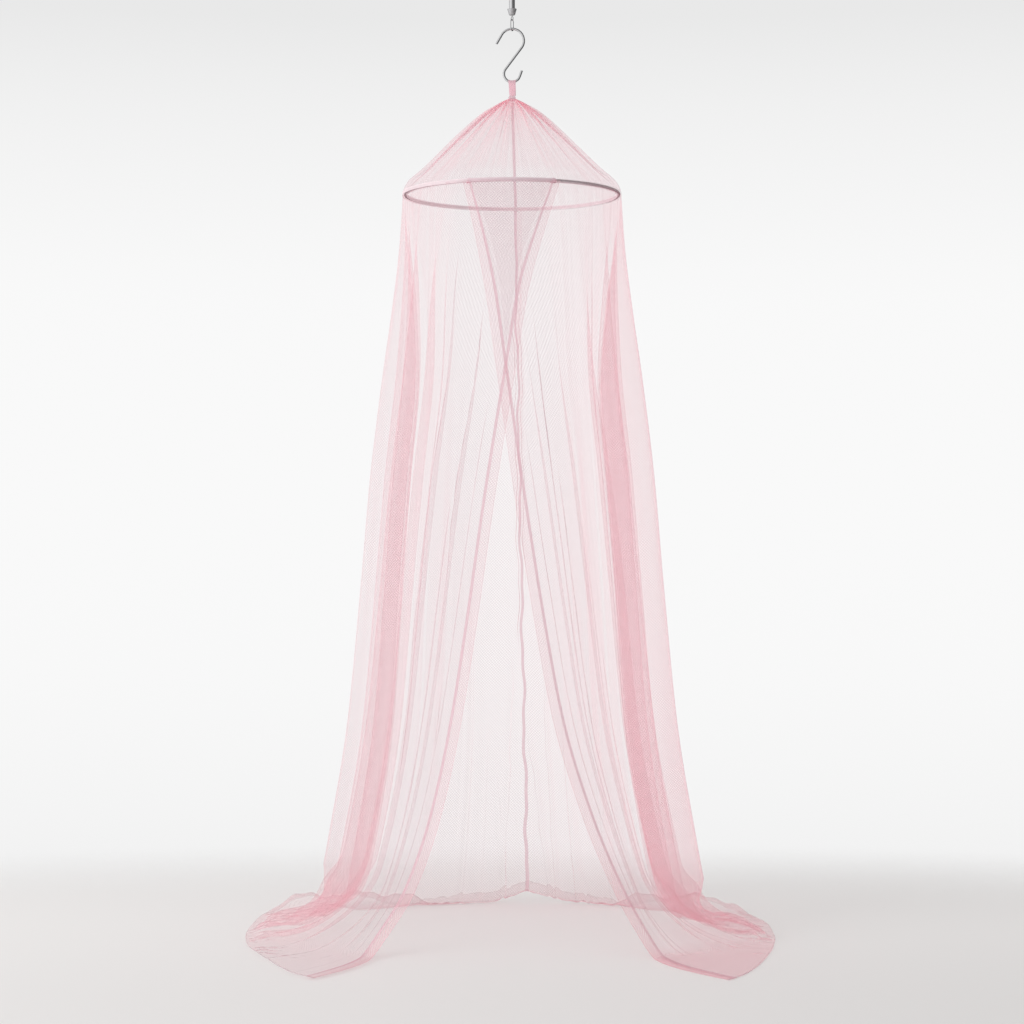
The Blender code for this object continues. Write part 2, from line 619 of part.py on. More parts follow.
def skirt_surface(side, share, fall, outwards=0.0):
    """Points of one half of the skirt with its folds, moved outwards from the middle of the cloth."""
    points, height, floor = smooth_skirt(side, share, fall)
    across = (
        smooth_skirt(side, np.minimum(share + NUDGE, 1), fall)[0]
        - smooth_skirt(side, np.maximum(share - NUDGE, 0), fall)[0]
    )
    down = (
        smooth_skirt(side, share, np.minimum(fall + NUDGE, 1))[0]
        - smooth_skirt(side, share, np.maximum(fall - NUDGE, 0))[0]
    )
    out = unit(np.cross(across, down)) * -OWN_SIDE[side]
    wide = np.linalg.norm(across, axis=-1) / (2 * NUDGE)
    gap = along(height, RING["height"], RING["crest"]) - along(height, RING["height"], RING["side"])
    raised = np.zeros_like(share)
    leant = np.zeros_like(share)
    for i in range(len(FOLDS[side]["share"])):
        fold = {name: column[i] for name, column in FOLDS[side].items()}
        grown = ease((fold["begins"] - height) / (fold["begins"] - fold["full"]))
        wave = np.cos(np.clip((share - fold["share"]) / fold["reach"], -1, 1) * pi / 2) ** 2
        kept = fold["kept"] + (1 - fold["kept"]) * along(floor, KEPT["floor"], KEPT["share"])
        raised += (fold["depth"] * grown + fold["of_gap"] * gap) * wave * kept
        most = MOST_LEAN * fold["reach"] * wide
        leant += np.clip(fold["lean"], -most, most) * wave * grown * kept
    lapped = np.full_like(share, outwards)
    if side == "left":
        lap = LAP_AT_HOOP + (PANEL_LAP - LAP_AT_HOOP) * ease(fall / HANGING_ROWS[1])
        lapped += lap * (1 - ease((share - LAP_SHARE) / LAP_FADE))
    points = points + out * lapped[..., None] + out * (1.0, 1.0, FOLD_RISE) * raised[..., None]
    points = points + unit(across) * leant[..., None]
    points[..., 2] = np.maximum(points[..., 2], FLOOR_LIFT + outwards)
    return points - (0.0, 0.0, ROD_TOP)


def tape_shares():
    """Shares of the tape's two sides along the front edge, where the free strip has its full width."""
    strip = FRONT_EDGE["strip"][-1]
    return STRIP_SHARE * (strip - TAPE_WIDTH / 2) / (strip + TAPE_WIDTH / 2), STRIP_SHARE


def seam_shares(side):
    """For each row, the share where the back seam's tape ends on this half."""
    fall = np.array(ROWS)
    beside = smooth_skirt(side, np.full_like(fall, 1 - NEAR_SEAM), fall)[0]
    seam = smooth_skirt(side, np.ones_like(fall), fall)[0]
    return 1 - NEAR_SEAM * SEAM_TAPE_WIDTH / 2 / np.linalg.norm(beside - seam, axis=-1)


def skirt_shares(side):
    """Shares of the columns: five on each fold, both sides of the tapes, and plain ones between."""
    folds = FOLDS[side]
    shares = {round(float(s + r * q), 4) for s, r in zip(folds["share"], folds["reach"]) for q in FIVE}
    shares = sorted(shares | {0.0, 1.0} | set(tape_shares()))
    filled = []
    for a, b in zip(shares, shares[1:]):
        steps = max(1, int(np.ceil((b - a) / WIDEST_COLUMN)))
        filled += [a + (b - a) * k / steps for k in range(steps)]
    plain = np.tile(filled, (len(ROWS), 1))
    return np.column_stack([plain, seam_shares(side), np.ones(len(ROWS))])


def falls_for(share):
    return np.tile(np.array(ROWS)[:, None], (1, share.shape[1]))


def add_skirt(side):
    """One half of the skirt, from its free front edge to the back seam."""
    share = skirt_shares(side)
    grid = skirt_surface(side, share, falls_for(share))
    grid[:, -1, 0] += OWN_SIDE[side] * SEAM_GAP / 2
    sheet_object("skirt_" + side, grid, CLOTH, NET_FINISH, turned=side == "right")


def add_front_tape(side):
    """Tape sewn along the front edge, on the outside, a little in from the free edge."""
    share = np.tile(tape_shares(), (len(ROWS), 1))
    lift = CLOTH / 2 + TAPE_LIFT + TAPE_THICKNESS / 2
    grid = skirt_surface(side, share, falls_for(share), lift)
    sheet_object("front_tape_" + side, grid, TAPE_THICKNESS, TAPE_FINISH, turned=side == "right")


def add_back_seam():
    """Tape down the back seam, on the inside, from under the hoop to the hem."""
    inside = -(CLOTH / 2 + TAPE_LIFT + TAPE_THICKNESS / 2)
    columns = []
    for side in ("left", "right"):
        share = np.column_stack([seam_shares(side), np.ones(len(ROWS))])
        columns.append(skirt_surface(side, share, falls_for(share), inside))
    left, right = columns
    middle = (left[:, 1] + right[:, 1]) / 2
    grid = np.stack([left[:, 0], middle, right[:, 0]], 1)[1:-1]
    sheet_object("back_seam_tape", grid, TAPE_THICKNESS, TAPE_FINISH)


def main():
    clear_scene()
    made = bpy.data.collections.new("mosquito_net_canopy")
    bpy.context.scene.collection.children.link(made)
    add_rod()
    add_socket()
    add_eye()
    add_link()
    add_hook()
    add_loop()
    add_gather()
    add_hoop()
    add_crown()
    add_crown_seam()
    for side in ("left", "right"):
        add_skirt(side)
        add_front_tape(side)
    add_back_seam()


main()
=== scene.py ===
"""Mosquito net canopy: sheer net over a hoop, hung by a tape loop from an S-hook, a link and a ceiling rod.

Metres, +Z up, open front towards -Y, origin in the middle of the rod's flat top end."""

from math import cos, pi, radians, sin

import bmesh
import bpy
import numpy as np
from bpy.props import FloatProperty, FloatVectorProperty, IntProperty, PointerProperty
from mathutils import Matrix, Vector


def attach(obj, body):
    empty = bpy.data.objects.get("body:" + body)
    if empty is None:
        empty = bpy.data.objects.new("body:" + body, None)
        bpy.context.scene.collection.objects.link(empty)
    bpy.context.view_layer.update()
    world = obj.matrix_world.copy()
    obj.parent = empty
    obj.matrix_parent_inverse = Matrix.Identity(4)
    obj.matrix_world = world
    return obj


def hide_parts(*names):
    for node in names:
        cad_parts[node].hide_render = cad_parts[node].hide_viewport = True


bl_info = {
    "name": "Mosquito Net Canopy",
    "version": (1, 0, 0),
    "blender": (4, 5, 0),
    "location": "View3D > Sidebar > Canopy",
    "description": "Builds a hoop canopy of sheer net with its hanging hardware",
    "category": "Add Mesh",
}

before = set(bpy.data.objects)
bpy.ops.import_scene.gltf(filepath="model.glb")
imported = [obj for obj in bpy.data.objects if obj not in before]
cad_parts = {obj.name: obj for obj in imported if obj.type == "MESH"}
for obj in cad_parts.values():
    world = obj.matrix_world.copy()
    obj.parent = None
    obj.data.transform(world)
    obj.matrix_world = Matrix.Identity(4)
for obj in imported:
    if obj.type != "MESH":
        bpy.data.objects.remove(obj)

# ---- sizes shared with the solids ----------------------------------------------------------------
FLOOR = -2.700  # Z of the floor
HOOP_HEIGHT = 2.083  # heights are above the floor
HOOP_RADIUS = 0.2975
HOOP_TUBE = 0.0040
SKIRT_RADIUS = 0.3039
SEAM_GAP = 0.0012
SKIRT_TOP = HOOP_HEIGHT - SEAM_GAP / 2
TAPE_WIDTH = 0.0070
FLOOR_LIFT = 0.0022

# ---- how the skirt hangs -------------------------------------------------------------------------
# A place on a half skirt has a share, from 0 at the free front edge to 1 at the back seam, and a fall, from 0
# at the hoop to 1 at the hem. Its floor share runs from 0, where the cloth starts to turn, to 1 at the hem.
STRIP_SHARE = 0.025  # share of the strip outside the front tape
SWEEP_FADE, SWEEP_POWER = 0.62, 1.25  # share by which the front edge's sweep has died out, and how fast
SEAM_DRIFT_SHARE = 0.6  # share behind which the cloth follows the drift of the back seam
SQUARED, SQUARED_BY = 0.15, 0.4  # how much squarer than round the plan gets, and over what height
SQUARED_BEHIND, SQUARED_BEHIND_FROM = 0.40, 0.9  # the same behind the hoop's middle, from this height down
FALL, TURN = 0.80, 0.88  # falls where the cloth starts to turn on to the floor and where it lies flat
MOST_BEND = 0.8  # largest radius of that turn, as a share of the way to the hem
LIFT_FADE = 0.5  # height above which the hem's lift no longer tells
SWEPT_SHARE = 0.22  # share over which the front edge lies inside a straight line on the floor
PANEL_LAP, LAP_AT_HOOP, LAP_FALL = 0.0070, 0.0050, 0.012  # how far the left panel lies outside the right one
LAP_SHARE, LAP_FADE = 0.25, 0.07  # share up to which it does, and the share over which that fades
MOST_LEAN = 1.2  # largest lean of a fold, as a share of its reach
FOLD_RISE = 0.45  # share of a fold's depth that stands up from the floor
NUDGE = 1e-4  # step for measuring which way the cloth faces

# Windows: where an effect starts, over what length it comes in, where it ends, over what length it goes out.
CREASE_IN, CREASE_OUT = 0.25, 0.35
LANDED_FLOOR, LANDED_SHARE = (0.0, 0.12, 0.95, 0.50), (0.24, 0.10, 0.54, 0.08)  # folds where it lands
HEAPED_FLOOR, HEAPED_SHARE = (0.10, 0.20, 0.95, 0.35), (0.20, 0.14, 0.74, 0.10)  # rolls on the floor
LYING_FLOOR, LYING_SHARE = (0.25, 0.20, 1.0, 0.12), (0.13, 0.08)  # fine wrinkles on the floor
STANDING_FLOOR, STANDING_SHARE = (0.35, 0.60), (0.08, 0.83, 0.07)  # hem that stands up at the back corners
SEAMED_HEIGHT, SEAMED_SHARE = (0.0, 0.1, HOOP_HEIGHT, 0.3), (0.90, 0.09)  # the back seam's waver

# Waves: rows of length, size and phase.
LANDED_BEND, LANDED_TURN, LANDED_DRIFT = 1.5, 3.5, 9  # how these folds wander
LANDED_WAVES = ((0.0270, 0.020), (0.0153, 0.011))  # pitch in shares and depth of the folds where it lands
ROLL_WAVES = ((0.135, 0.55), (0.080, 0.28), (0.047, 0.17))  # length and size of the rolls
ROLL_BEND, ROLL_BEND_SMALL = (0.31, 0.02), (0.13, 0.008, 1.0)
ROLL_HEIGHT, ROLL_PUSH = 0.034, 0.5  # and the share of it that leans back
WRINKLE, FINE_WRINKLE = 0.0030, 0.5
WRINKLE_BEND, WRINKLE_SLANT, WRINKLE_LENGTH, WRINKLE_PHASE = (0.11, 0.012, 0.0), 0.10, 0.034, (0.27, 2.0, 0.0)
FINE_BEND, FINE_SLANT, FINE_LENGTH = (0.07, 0.006, 2.0), -0.18, 0.021
PATCH_ACROSS, PATCH_ALONG = (0.23, 0.9, 1.3), (0.19, 1.0, 0.4)
STANDING, RUFFLE, RUFFLES = 0.048, 0.75, ((0.17, 0.17, 0.0), (0.061, 0.08, 1.0))  # the standing hem
SEAM_WAVES = ((0.31, 0.0030, 0.5), (0.127, 0.0018, 0.0))  # the back seam's waver from side to side
PUCKER, PUCKER_LENGTH, PUCKER_PHASE = 0.0011, 0.028, (0.19, 1.7, 0.0)  # along the seam and the front edge
PUCKER_SHARE, PUCKER_OFF_EDGE, PUCKER_FOOT = 0.012, 0.05, 0.1

# ---- how closely the net lies --------------------------------------------------------------------
# Fullness is the number of layers of net that lie on each other at a place.
STRIP_FADE = 0.003
BACK_SHARE, BACK_HEIGHT = (0.70, 0.12), (1.95, 1.1)
SEAM_LAYERS_SHARE, SEAM_LAYERS_HEIGHT = (0.980, 0.004), (1.25, 0.3)
BAND_IN, BAND_OUT = 0.07, 0.06
STREAKS, STREAK_FULLNESS = ((0.047, 0.34), (0.0237, 0.33), (0.0131, 0.33)), 0.57  # pitch and size
STREAK_WANDER, STREAK_TURN, STREAK_PHASE = 0.004, 2.1, 40
BAND_SPREAD, BAND_SPREAD_FLOOR = 0.35, (-0.05, 0.15)  # how much of it is spread out again on the floor
POOL_FLOOR, POOL_SHARE = (0.15, 0.3), (0.40, 0.2)
RIM_SHARE, RIM_WIDTH, RIM_SHADED, RIM_FLOOR = 0.56, 0.03, 0.85, 0.1  # the outermost fold, and the share of its hanging crest that keeps the painted shade of single and edge-on net
HEM_GAP = 0.0007  # between the turned layers of the hem
HEM_ROWS, HEM_LEAST = 6, 0.02  # rows of each turn, and the first one's share of its depth
HEM_DEEP_SHARE, HEM_FULL_SHARE = (0.56, 0.12), (0.5, 0.15)
HOOP_SEAM = 0.0100  # height of the seam round the hoop

# What differs between the two halves. Heap: the middle of the cloth heaped on the floor and its reach. Swept:
# how far the front edge lies inside a straight line. Band: the shares gathered into side folds. The last
# five are fullness added in the band, on its outermost fold, at the front on the floor, all over and along
# the back seam. The fullness all over is painted shade: it greys the right half, which the light from the
# left reaches less.
SIDES = {
    "left": {
        "way": -1.0,
        "other": "right",
        "heap": (-0.560, 0.300, 0.36),
        "swept": 0.040,
        "roll_seed": 3,
        "roll_slant": 0.25,
        "stands_from": 0.595,
        "band": (0.23, 0.68),
        "banded": 0.0,
        "rim": 0.2,
        "pooled": 0.0,
        "closer": 0.0,
        "seamed": 0.0,
    },
    "right": {
        "way": 1.0,
        "other": "left",
        "heap": (0.600, 0.170, 0.36),
        "swept": 0.050,
        "roll_seed": 5,
        "roll_slant": -0.25,
        "stands_from": 0.615,
        "band": (0.17, 0.68),
        "banded": 0.05,
        "rim": 0.9,
        "pooled": 0.95,
        "closer": 0.15,
        "seamed": 1.4,
    },
}


# ---- tables of shapes ----------------------------------------------------------------------------
def table(text):
    """Named columns from rows of text: the names and then the numbers."""
    names, *rows = (line.split() for line in text.strip().splitlines())
    return dict(zip(names, np.array(rows, float).T))


# The smooth skirt at each height: half width at the valleys of the side folds and at the deepest one's crest,
# reach in front of the hoop's middle and behind it, and the sideways drift of the back seam.
RING = table(f"""
    height  side crest front  back  seam
    2.083 {SKIRT_RADIUS} {SKIRT_RADIUS} {SKIRT_RADIUS} {SKIRT_RADIUS} 0.010
      1.95 0.291 0.314 0.304 0.322 0.011
      1.79 0.274 0.334 0.305 0.347 0.013
      1.60 0.266 0.362 0.306 0.375 0.017
      1.30 0.290 0.401 0.306 0.421 0.022
      1.00 0.314 0.429 0.305 0.466 0.028
      0.60 0.345 0.472 0.303 0.530 0.036
      0.25 0.402 0.536 0.300 0.585 0.043
      0.00 0.460 0.590 0.298 0.622 0.046
""")
# How far each front edge's tape lies to its own side, and how far the free edge stands out past it.
FRONT_EDGE = table("""
    height   left  right strip
     2.083 -0.109 -0.114 0.017
      1.95 -0.062 -0.078 0.023
      1.80 -0.018 -0.046 0.027
      1.59  0.016 -0.016 0.027
      1.24  0.071  0.034 0.027
      0.91  0.117  0.086 0.027
      0.64  0.159  0.137 0.027
      0.39  0.212  0.213 0.027
      0.18  0.283  0.300 0.027
      0.00  0.388  0.395 0.027
""")
# The hem on the floor, from the front corner (share 0) to the back seam (share 1): distance to its own side,
# distance back, how far it is held up, and the radius with which the cloth turns on to the floor.
HEM = {
    "left": table("""
    share    out   back  lift bend
     0.00  0.508 -0.510 0.000 0.15
     0.07  0.567 -0.446 0.000 0.16
     0.16  0.650 -0.270 0.000 0.20
     0.26  0.733 -0.046 0.000 0.25
     0.38  0.757  0.163 0.000 0.26
     0.50  0.752  0.330 0.000 0.20
     0.60  0.735  0.460 0.000 0.14
     0.66  0.660  0.555 0.000 0.11
     0.72  0.480  0.600 0.000 0.03
     0.79  0.300  0.606 0.002 0.02
     0.86  0.195  0.622 0.002 0.01
     0.93  0.075  0.634 0.004 0.01
     1.00 -0.046  0.633 0.040 0.01
    """),
    "right": table("""
    share   out   back  lift bend
     0.00 0.556 -0.512 0.000 0.15
     0.07 0.610 -0.428 0.000 0.16
     0.16 0.661 -0.295 0.000 0.20
     0.26 0.721 -0.064 0.000 0.24
     0.38 0.742  0.090 0.000 0.22
     0.50 0.745  0.250 0.000 0.13
     0.60 0.720  0.390 0.000 0.11
     0.66 0.670  0.500 0.000 0.09
     0.72 0.520  0.560 0.000 0.03
     0.79 0.350  0.580 0.002 0.02
     0.86 0.258  0.606 0.006 0.01
     0.93 0.160  0.626 0.012 0.01
     1.00 0.046  0.633 0.040 0.01
    """),
}
# The main folds: where the crest is, how far it reaches each way (shares of the half skirt), its depth as a
# share of the side gap and in metres, the lean of its crest towards the back, the heights where it begins and
# is full, and the share of it that is left where the cloth lies on the floor.
FOLDS = {
    "left": table("""
    share reach of_gap depth   lean begins full kept
    0.100 0.022   0.00 0.010  0.018   1.95 1.20 0.20
    0.205 0.030   0.00 0.018  0.036   2.00 1.20 0.15
    0.300 0.028   0.20 0.010  0.020   2.08 1.60 0.15
    0.385 0.045   0.66 0.000  0.000   2.08 1.90 0.05
    0.475 0.045   0.62 0.000  0.000   2.08 1.90 0.05
    0.565 0.045   1.00 0.000  0.000   2.08 1.90 0.05
    0.650 0.040   0.60 0.000 -0.010   2.08 1.90 0.05
    0.800 0.020   0.00 0.008  0.014   1.70 1.00 0.15
    0.905 0.016   0.00 0.006  0.010   0.90 0.40 0.15
    """),
    "right": table("""
    share reach of_gap  depth   lean begins full kept
    0.085 0.016   0.00  0.010  0.016   2.00 1.20 0.20
    0.190 0.020   0.00  0.010  0.020   2.00 1.20 0.20
    0.300 0.038   0.20  0.020  0.050   2.08 1.00 0.12
    0.390 0.045   0.60  0.000  0.000   2.08 1.90 0.05
    0.475 0.040   0.46  0.000  0.000   2.08 1.90 0.05
    0.560 0.045   1.00  0.000  0.000   2.08 1.90 0.05
    0.645 0.040   0.48  0.000 -0.010   2.08 1.90 0.05
    0.800 0.020   0.00  0.008  0.014   1.70 1.00 0.15
    0.890 0.016   0.00  0.008  0.012   0.90 0.40 0.15
    0.430 0.040   0.00 -0.020  0.000   2.00 1.40 0.05
    0.515 0.040   0.00 -0.022  0.000   2.00 1.40 0.05
    0.600 0.040   0.00 -0.022  0.000   2.00 1.40 0.05
    """),
}
# The narrow creases between the main folds: where each is and how far it reaches, its depth and lean, the
# heights where it begins and ends, and how far it moves along.
CREASES = {
    "left": table("""
    share reach  depth  lean  top  foot  drift
    0.055 0.008 0.0030 0.006 1.70  0.10  0.010
    0.120 0.007 0.0040 0.008 1.95  0.70 -0.060
    0.150 0.008 0.0040 0.008 1.40  0.00  0.010
    0.225 0.006 0.0030 0.007 2.05  0.90 -0.020
    0.262 0.006 0.0030 0.006 2.05  0.60 -0.010
    0.345 0.008 0.0050 0.010 2.05  0.20  0.004
    0.430 0.008 0.0050 0.010 1.90  0.10  0.004
    0.520 0.007 0.0050 0.008 1.90  0.10 -0.004
    0.610 0.007 0.0040 0.008 1.90  0.20  0.004
    0.730 0.008 0.0040 0.008 1.60  0.30  0.010
    0.850 0.006 0.0030 0.005 1.30  0.35  0.010
    0.873 0.008 0.0070 0.006 1.20 -0.30  0.004
    0.925 0.006 0.0060 0.006 0.60 -0.30  0.030
    0.971 0.007 0.0060 0.004 0.95 -0.30 -0.018
    0.984 0.005 0.0050 0.007 2.02  0.90  0.004
    """),
    "right": table("""
    share reach  depth  lean  top  foot  drift
    0.050 0.006 0.0030 0.006 1.60  0.20  0.008
    0.125 0.007 0.0040 0.008 1.90  0.10 -0.010
    0.150 0.006 0.0030 0.006 1.50  0.40 -0.014
    0.225 0.006 0.0030 0.006 1.30  0.00  0.004
    0.250 0.006 0.0030 0.006 1.00  0.00  0.008
    0.345 0.008 0.0050 0.010 2.05  0.20 -0.004
    0.430 0.008 0.0050 0.010 1.90  0.10  0.004
    0.518 0.007 0.0050 0.008 1.90  0.10 -0.004
    0.602 0.007 0.0040 0.008 1.90  0.20  0.004
    0.730 0.008 0.0040 0.008 1.60  0.30 -0.010
    0.850 0.006 0.0030 0.005 1.30  0.30  0.006
    0.937 0.006 0.0060 0.006 0.32 -0.30 -0.067
    0.943 0.008 0.0070 0.006 0.90 -0.30 -0.004
    0.990 0.008 0.0080 0.006 0.70 -0.30 -0.035
    0.984 0.005 0.0050 0.007 2.02  1.10  0.004
    """),
}
# How much of a fold is left along the floor share: its full depth above the floor, little at the hem.
KEPT = table("""
    floor share
      0.0   1.0
     0.10  0.97
     0.25  0.66
     0.42  0.28
     0.70  0.08
      1.0   0.0
""")
# The crown's outline from the gather down to the hoop.
CROWN = table(f"""
    height radius
    2.3500 0.0108
    2.3350 0.0310
    2.3050 0.0700
    2.2570 0.1240
    2.2130 0.1720
    2.1550 0.2340
    2.1150 0.2820
    2.0920 0.2985
    {HOOP_HEIGHT + SEAM_GAP / 2} {SKIRT_RADIUS}
""")
# The crown's folds fan out of the gather: angle from +X, reach each way in degrees, depth where deepest, how
# far the crest leans round, and the share of the way down where the fold has gone.
CROWN_FOLDS = table("""
    angle reach depth   lean ends
       -8     9 0.018  0.010 0.98
      -30     8 0.010  0.000 0.75
      -52     8 0.008  0.004 0.80
      -74     8 0.008  0.004 0.90
     -106     8 0.008 -0.004 0.80
     -128     8 0.009 -0.004 0.95
     -150     8 0.010  0.000 0.85
     -172     9 0.018 -0.010 0.98
       14     9 0.020 -0.008 0.98
       38     9 0.012  0.000 0.80
       64     9 0.008  0.000 0.70
      116     9 0.008  0.000 0.70
      142     9 0.012  0.000 0.80
      166     9 0.020  0.008 0.98
""")
# The crown's fine gathers: how many, the least and most that each reaches, stands out and runs down, the most
# that each is shifted, as a share of their spacing, and leans, as a share of its depth, and the seed.
GATHERS = {"count": 54, "reach": (1.6, 4.2), "depth": (0.0030, 0.0085), "ends": (0.30, 0.95)}
GATHERS.update(shift=0.4, lean=0.7, seed=7)
FINE_SUNK, MOST_SUNK = 0.8, 0.5  # how far they draw the cloth in: shares of their depth and of the radius
CROWN_SWELL = 0.7  # how soon a fold of the crown swells on its way down
MOST_CROWN_FOLD = 0.35  # largest depth of a fold, as a share of the radius
MOST_CROWN_LEAN = 0.9  # largest lean of a fold, as a share of its reach
CROWN_SEAM_ANGLE = 88.0
CROWN_STREAKS = ((37, 0.34), (61, 0.36), (97, 0.30))  # streaks round the crown, and their size
CROWN_WANDER, CROWN_WANDER_TURN = 0.03, 4
CROWN_STREAK_FULLNESS, CROWN_STREAK_FADE, CROWN_DRAWN_LESS = 0.55, 0.6, 0.12

# ---- bindings and seams --------------------------------------------------------------------------
TAPE_GAP, STITCH_GAP, EDGE_GAP = 0.0012, 0.0016, 0.0006  # how far they lie off the middle of the cloth
EDGE_ROLL = 0.0012  # share of the rolled free edge
BACK_TAPE_SHARE = 0.9965
CROWN_TAPE_TOP, CROWN_TAPE_HALF = 0.06, 0.004
SEAM_OFF, LAPPED_OFF, LAPPED_HALF, LAPPED_FADE = 0.0012, 0.0020, 0.112, 0.03
CASING, CASING_LEFT, CASING_LAPPED = 0.25, 0.65, 0.1  # layers, more to the left and at the lap
CASING_TO_LEFT = (0.1, 0.8)  # where the casing starts to close up to the left, and over what width
TIE_SHIFTS, TIE_SLANT, TIE_RADIUS, TIE_WIRE = (-0.009, 0.0, 0.011), 0.010, 0.0058, 0.0015
OVERLAP_FALLS, OVERLAP_HALF, LEAST_OVERLAP, OVERLAP_GAP = (0.002, 0.36), 0.109, 0.002, 0.0010
STITCH_THREAD, STITCH_LENGTH, STITCH_SIDES = 0.00022, 0.7, 5  # the length is a share of the pitch
FOLD_STEPS, CREASE_STEPS, CLOSEST = 13, 9, 0.0012  # columns on a fold and on a crease, and the closest two
WIRE_SIDES, TUBE_SIDES, HOOP_STEPS = 24, 20, 256

# ---- sizes of the hanging hardware, Z from the rod's top end -------------------------------------
ROD = table("""
    radius       z
       0.0     0.0
    0.0072     0.0
    0.0080 -0.0008
    0.0080 -0.1127
       0.0 -0.1127
""")
SOCKET = table("""
    radius       z
       0.0 -0.1130
    0.0086 -0.1130
    0.0086 -0.0990
    0.0100 -0.0988
    0.0124 -0.0990
    0.0130 -0.0998
    0.0086 -0.1148
    0.0074 -0.1160
       0.0 -0.1160
""")
SEAT_GAP = 0.0003  # between pieces that hang in each other
HOOK_WIRE, UPPER_BEND, LOWER_BEND = 0.0033, 0.0330, 0.0225
HOOK_HIGH, HOOK_LOW = -0.18735, -0.2799  # middles of the two bends
UPPER_BEND_END, LOWER_BEND_END = 150.0, -20.0
UPPER_TAIL, LOWER_TAIL, TAIL_STEPS = 0.0290, 0.0180, (0.33, 0.66, 1.0)
LINK_WIRE, LINK_WIDTH, LINK_HEIGHT, LINK_TURN = 0.0014, 0.0160, 0.0340, 57.0
LINK_TOP = HOOK_HIGH + UPPER_BEND - HOOK_WIRE - SEAT_GAP - 2 * LINK_WIRE + LINK_HEIGHT
EYE_WIRE, EYE_BEND, EYE_TURN, EYE_OPEN_HALF = 0.0013, 0.0055, 120.0, 25.0
EYE_NECK, EYE_NECK_RISE, EYE_SHANK, EYE_SHANK_RISE, EYE_STRAIGHT = 0.55, 0.0016, 0.4, 0.0009, 0.0012
LOOP_WIDTH_TOP, LOOP_WIDTH_FOOT, LOOP_FOOT = 0.0200, 0.0150, -0.3405
LOOP_FOOT_SPREAD, LOOP_BACK_SHIFT = 0.0025, 0.0035
GATHER_TOP, GATHER_BOTTOM, GATHER_RADIUS = -0.3410, -0.3560, 0.0092
GATHER_RIDGES = ((9, 0.0010, 2.0, 0.0), (23, 0.0004, 0.0, 1.3))  # number, size, twist and phase
GATHER = {"share": (0.0, 0.12, 0.34, 0.60, 0.86, 1.0), "swell": (0.62, 0.80, 0.97, 1.0, 0.86, 0.55)}

# ---- looks ---------------------------------------------------------------------------------------
DULL = 0.2  # specular level of cloth and floor
WEAVE_LOST, WEAVE_CLEARS = 0.22, 0.35  # cosine up to which the threads run together, and how soon they part
EDGE_ON, EDGE_DENSER = 0.15, 5.0  # cosine below which the net counts as edge on, and how much denser it gets
OUTLINE_GAIN, OUTLINE_THROUGH = 2.5, 0.25  # how soon it takes the painted shade of its edge colour, and less light through it
BRIGHT_LAYERS = 2.2  # layers past the first at which the net loses the painted shade of a single layer and has its full colour
NET_THROUGH, NET_CLEAR = 0.5, 0.987  # light through a thread and between threads
RIB_PITCH, RIB_HALF, RIB_COVER, TAPE_THROUGH = 0.0012, 0.2, 0.5, 0.4
HAZE, HAZE_LESS = 0.10, 0.03  # how much rougher the haze makes steel, less its average
FLOOR_SIDE, FLOOR_BACK, FLOOR_FORWARD = 2.9, 2.6, 0.9  # reach of the seen floor, and how far forward it lies
# Where the floor runs out into the backdrop, and a painted shade: the floor darkens towards the front, as the
# light falls off.
FLOOR_RUNS_OUT, FLOOR_DARKENS, FLOOR_NEAR_PAINTED_SHADE = (0.33, 1.15), (0.5, -1.1), 0.91
LAMP_PLACE, LAMP_AIM, LAMP_SIZE = (-7.2, -5.2, 0.3), (0.0, 0.0, -2.0), 5.0
# The room that the steel reflects, from left to right: place and tone.
ROOM_TONES = ((0.0, 1.3), (1.0, 0.14), (0.42, 0.9), (0.62, 0.20))
ROOM_DARKER_BEHIND = 0.75
BACKDROP_RISE, BACKDROP_STOPS = 2.2, (0.12, 0.95, 28)
# The backdrop's tone by the slope of the line of sight, from down to up.
BACKDROP = table("""
    place  tone
    0.100 0.800
    0.155 0.866
    0.185 0.893
    0.240 0.913
    0.360 0.940
    0.500 0.947
    0.690 0.945
    0.800 0.913
    0.893 0.871
    0.970 0.814
""")


# ---- curves and surfaces of the cloth ------------------------------------------------------------
def along(at, places, values):
    """Smooth curve through values at places that never overshoots them."""
    if places[0] > places[-1]:
        places, values = places[::-1], values[::-1]
    at = np.clip(at, places[0], places[-1])
    step = np.diff(places)
    slope = np.diff(values) / step
    before, after = slope[:-1], slope[1:]
    both = before * after
    inner = np.where(both > 0, 2 * both / np.where(both > 0, before + after, 1.0), 0.0)
    tangent = np.concatenate([slope[:1], inner, slope[-1:]])
    i = np.clip(np.searchsorted(places, at, side="right") - 1, 0, len(step) - 1)
    t = (at - places[i]) / step[i]
    return (
        values[i] * (1 + 2 * t) * (1 - t) ** 2
        + step[i] * tangent[i] * t * (1 - t) ** 2
        + values[i + 1] * t * t * (3 - 2 * t)
        + step[i] * tangent[i + 1] * t * t * (t - 1)
    )


def column(columns, name, at):
    """One column of a table, read at places along its first column."""
    return along(at, next(iter(columns.values())), columns[name])


def rows_of(columns):
    """Each row of a table as names and numbers."""
    for i in range(len(next(iter(columns.values())))):
        yield {name: values[i] for name, values in columns.items()}


def ease(t):
    """0 below 0, 1 above 1, and smooth between."""
    t = np.clip(t, 0, 1)
    return t * t * (3 - 2 * t)


def past(value, start, rise):
    """0 up to the start and 1 once the rise is over."""
    return ease((value - start) / rise)


def short_of(value, end, fall):
    """1 until the fall begins and 0 from the end on."""
    return ease((end - value) / fall)


def between(value, start, rise, end, fall):
    """1 inside the window from start to end, and 0 outside it."""
    return past(value, start, rise) * short_of(value, end, fall)


def wave(place, length, size=1.0, phase=0.0):
    return size * np.sin(2 * pi * place / length + phase)


def hump(off, reach):
    """A rounded crest, 1 in the middle and 0 from its reach outwards."""
    return np.cos(np.clip(off / reach, -1, 1) * pi / 2) ** 2


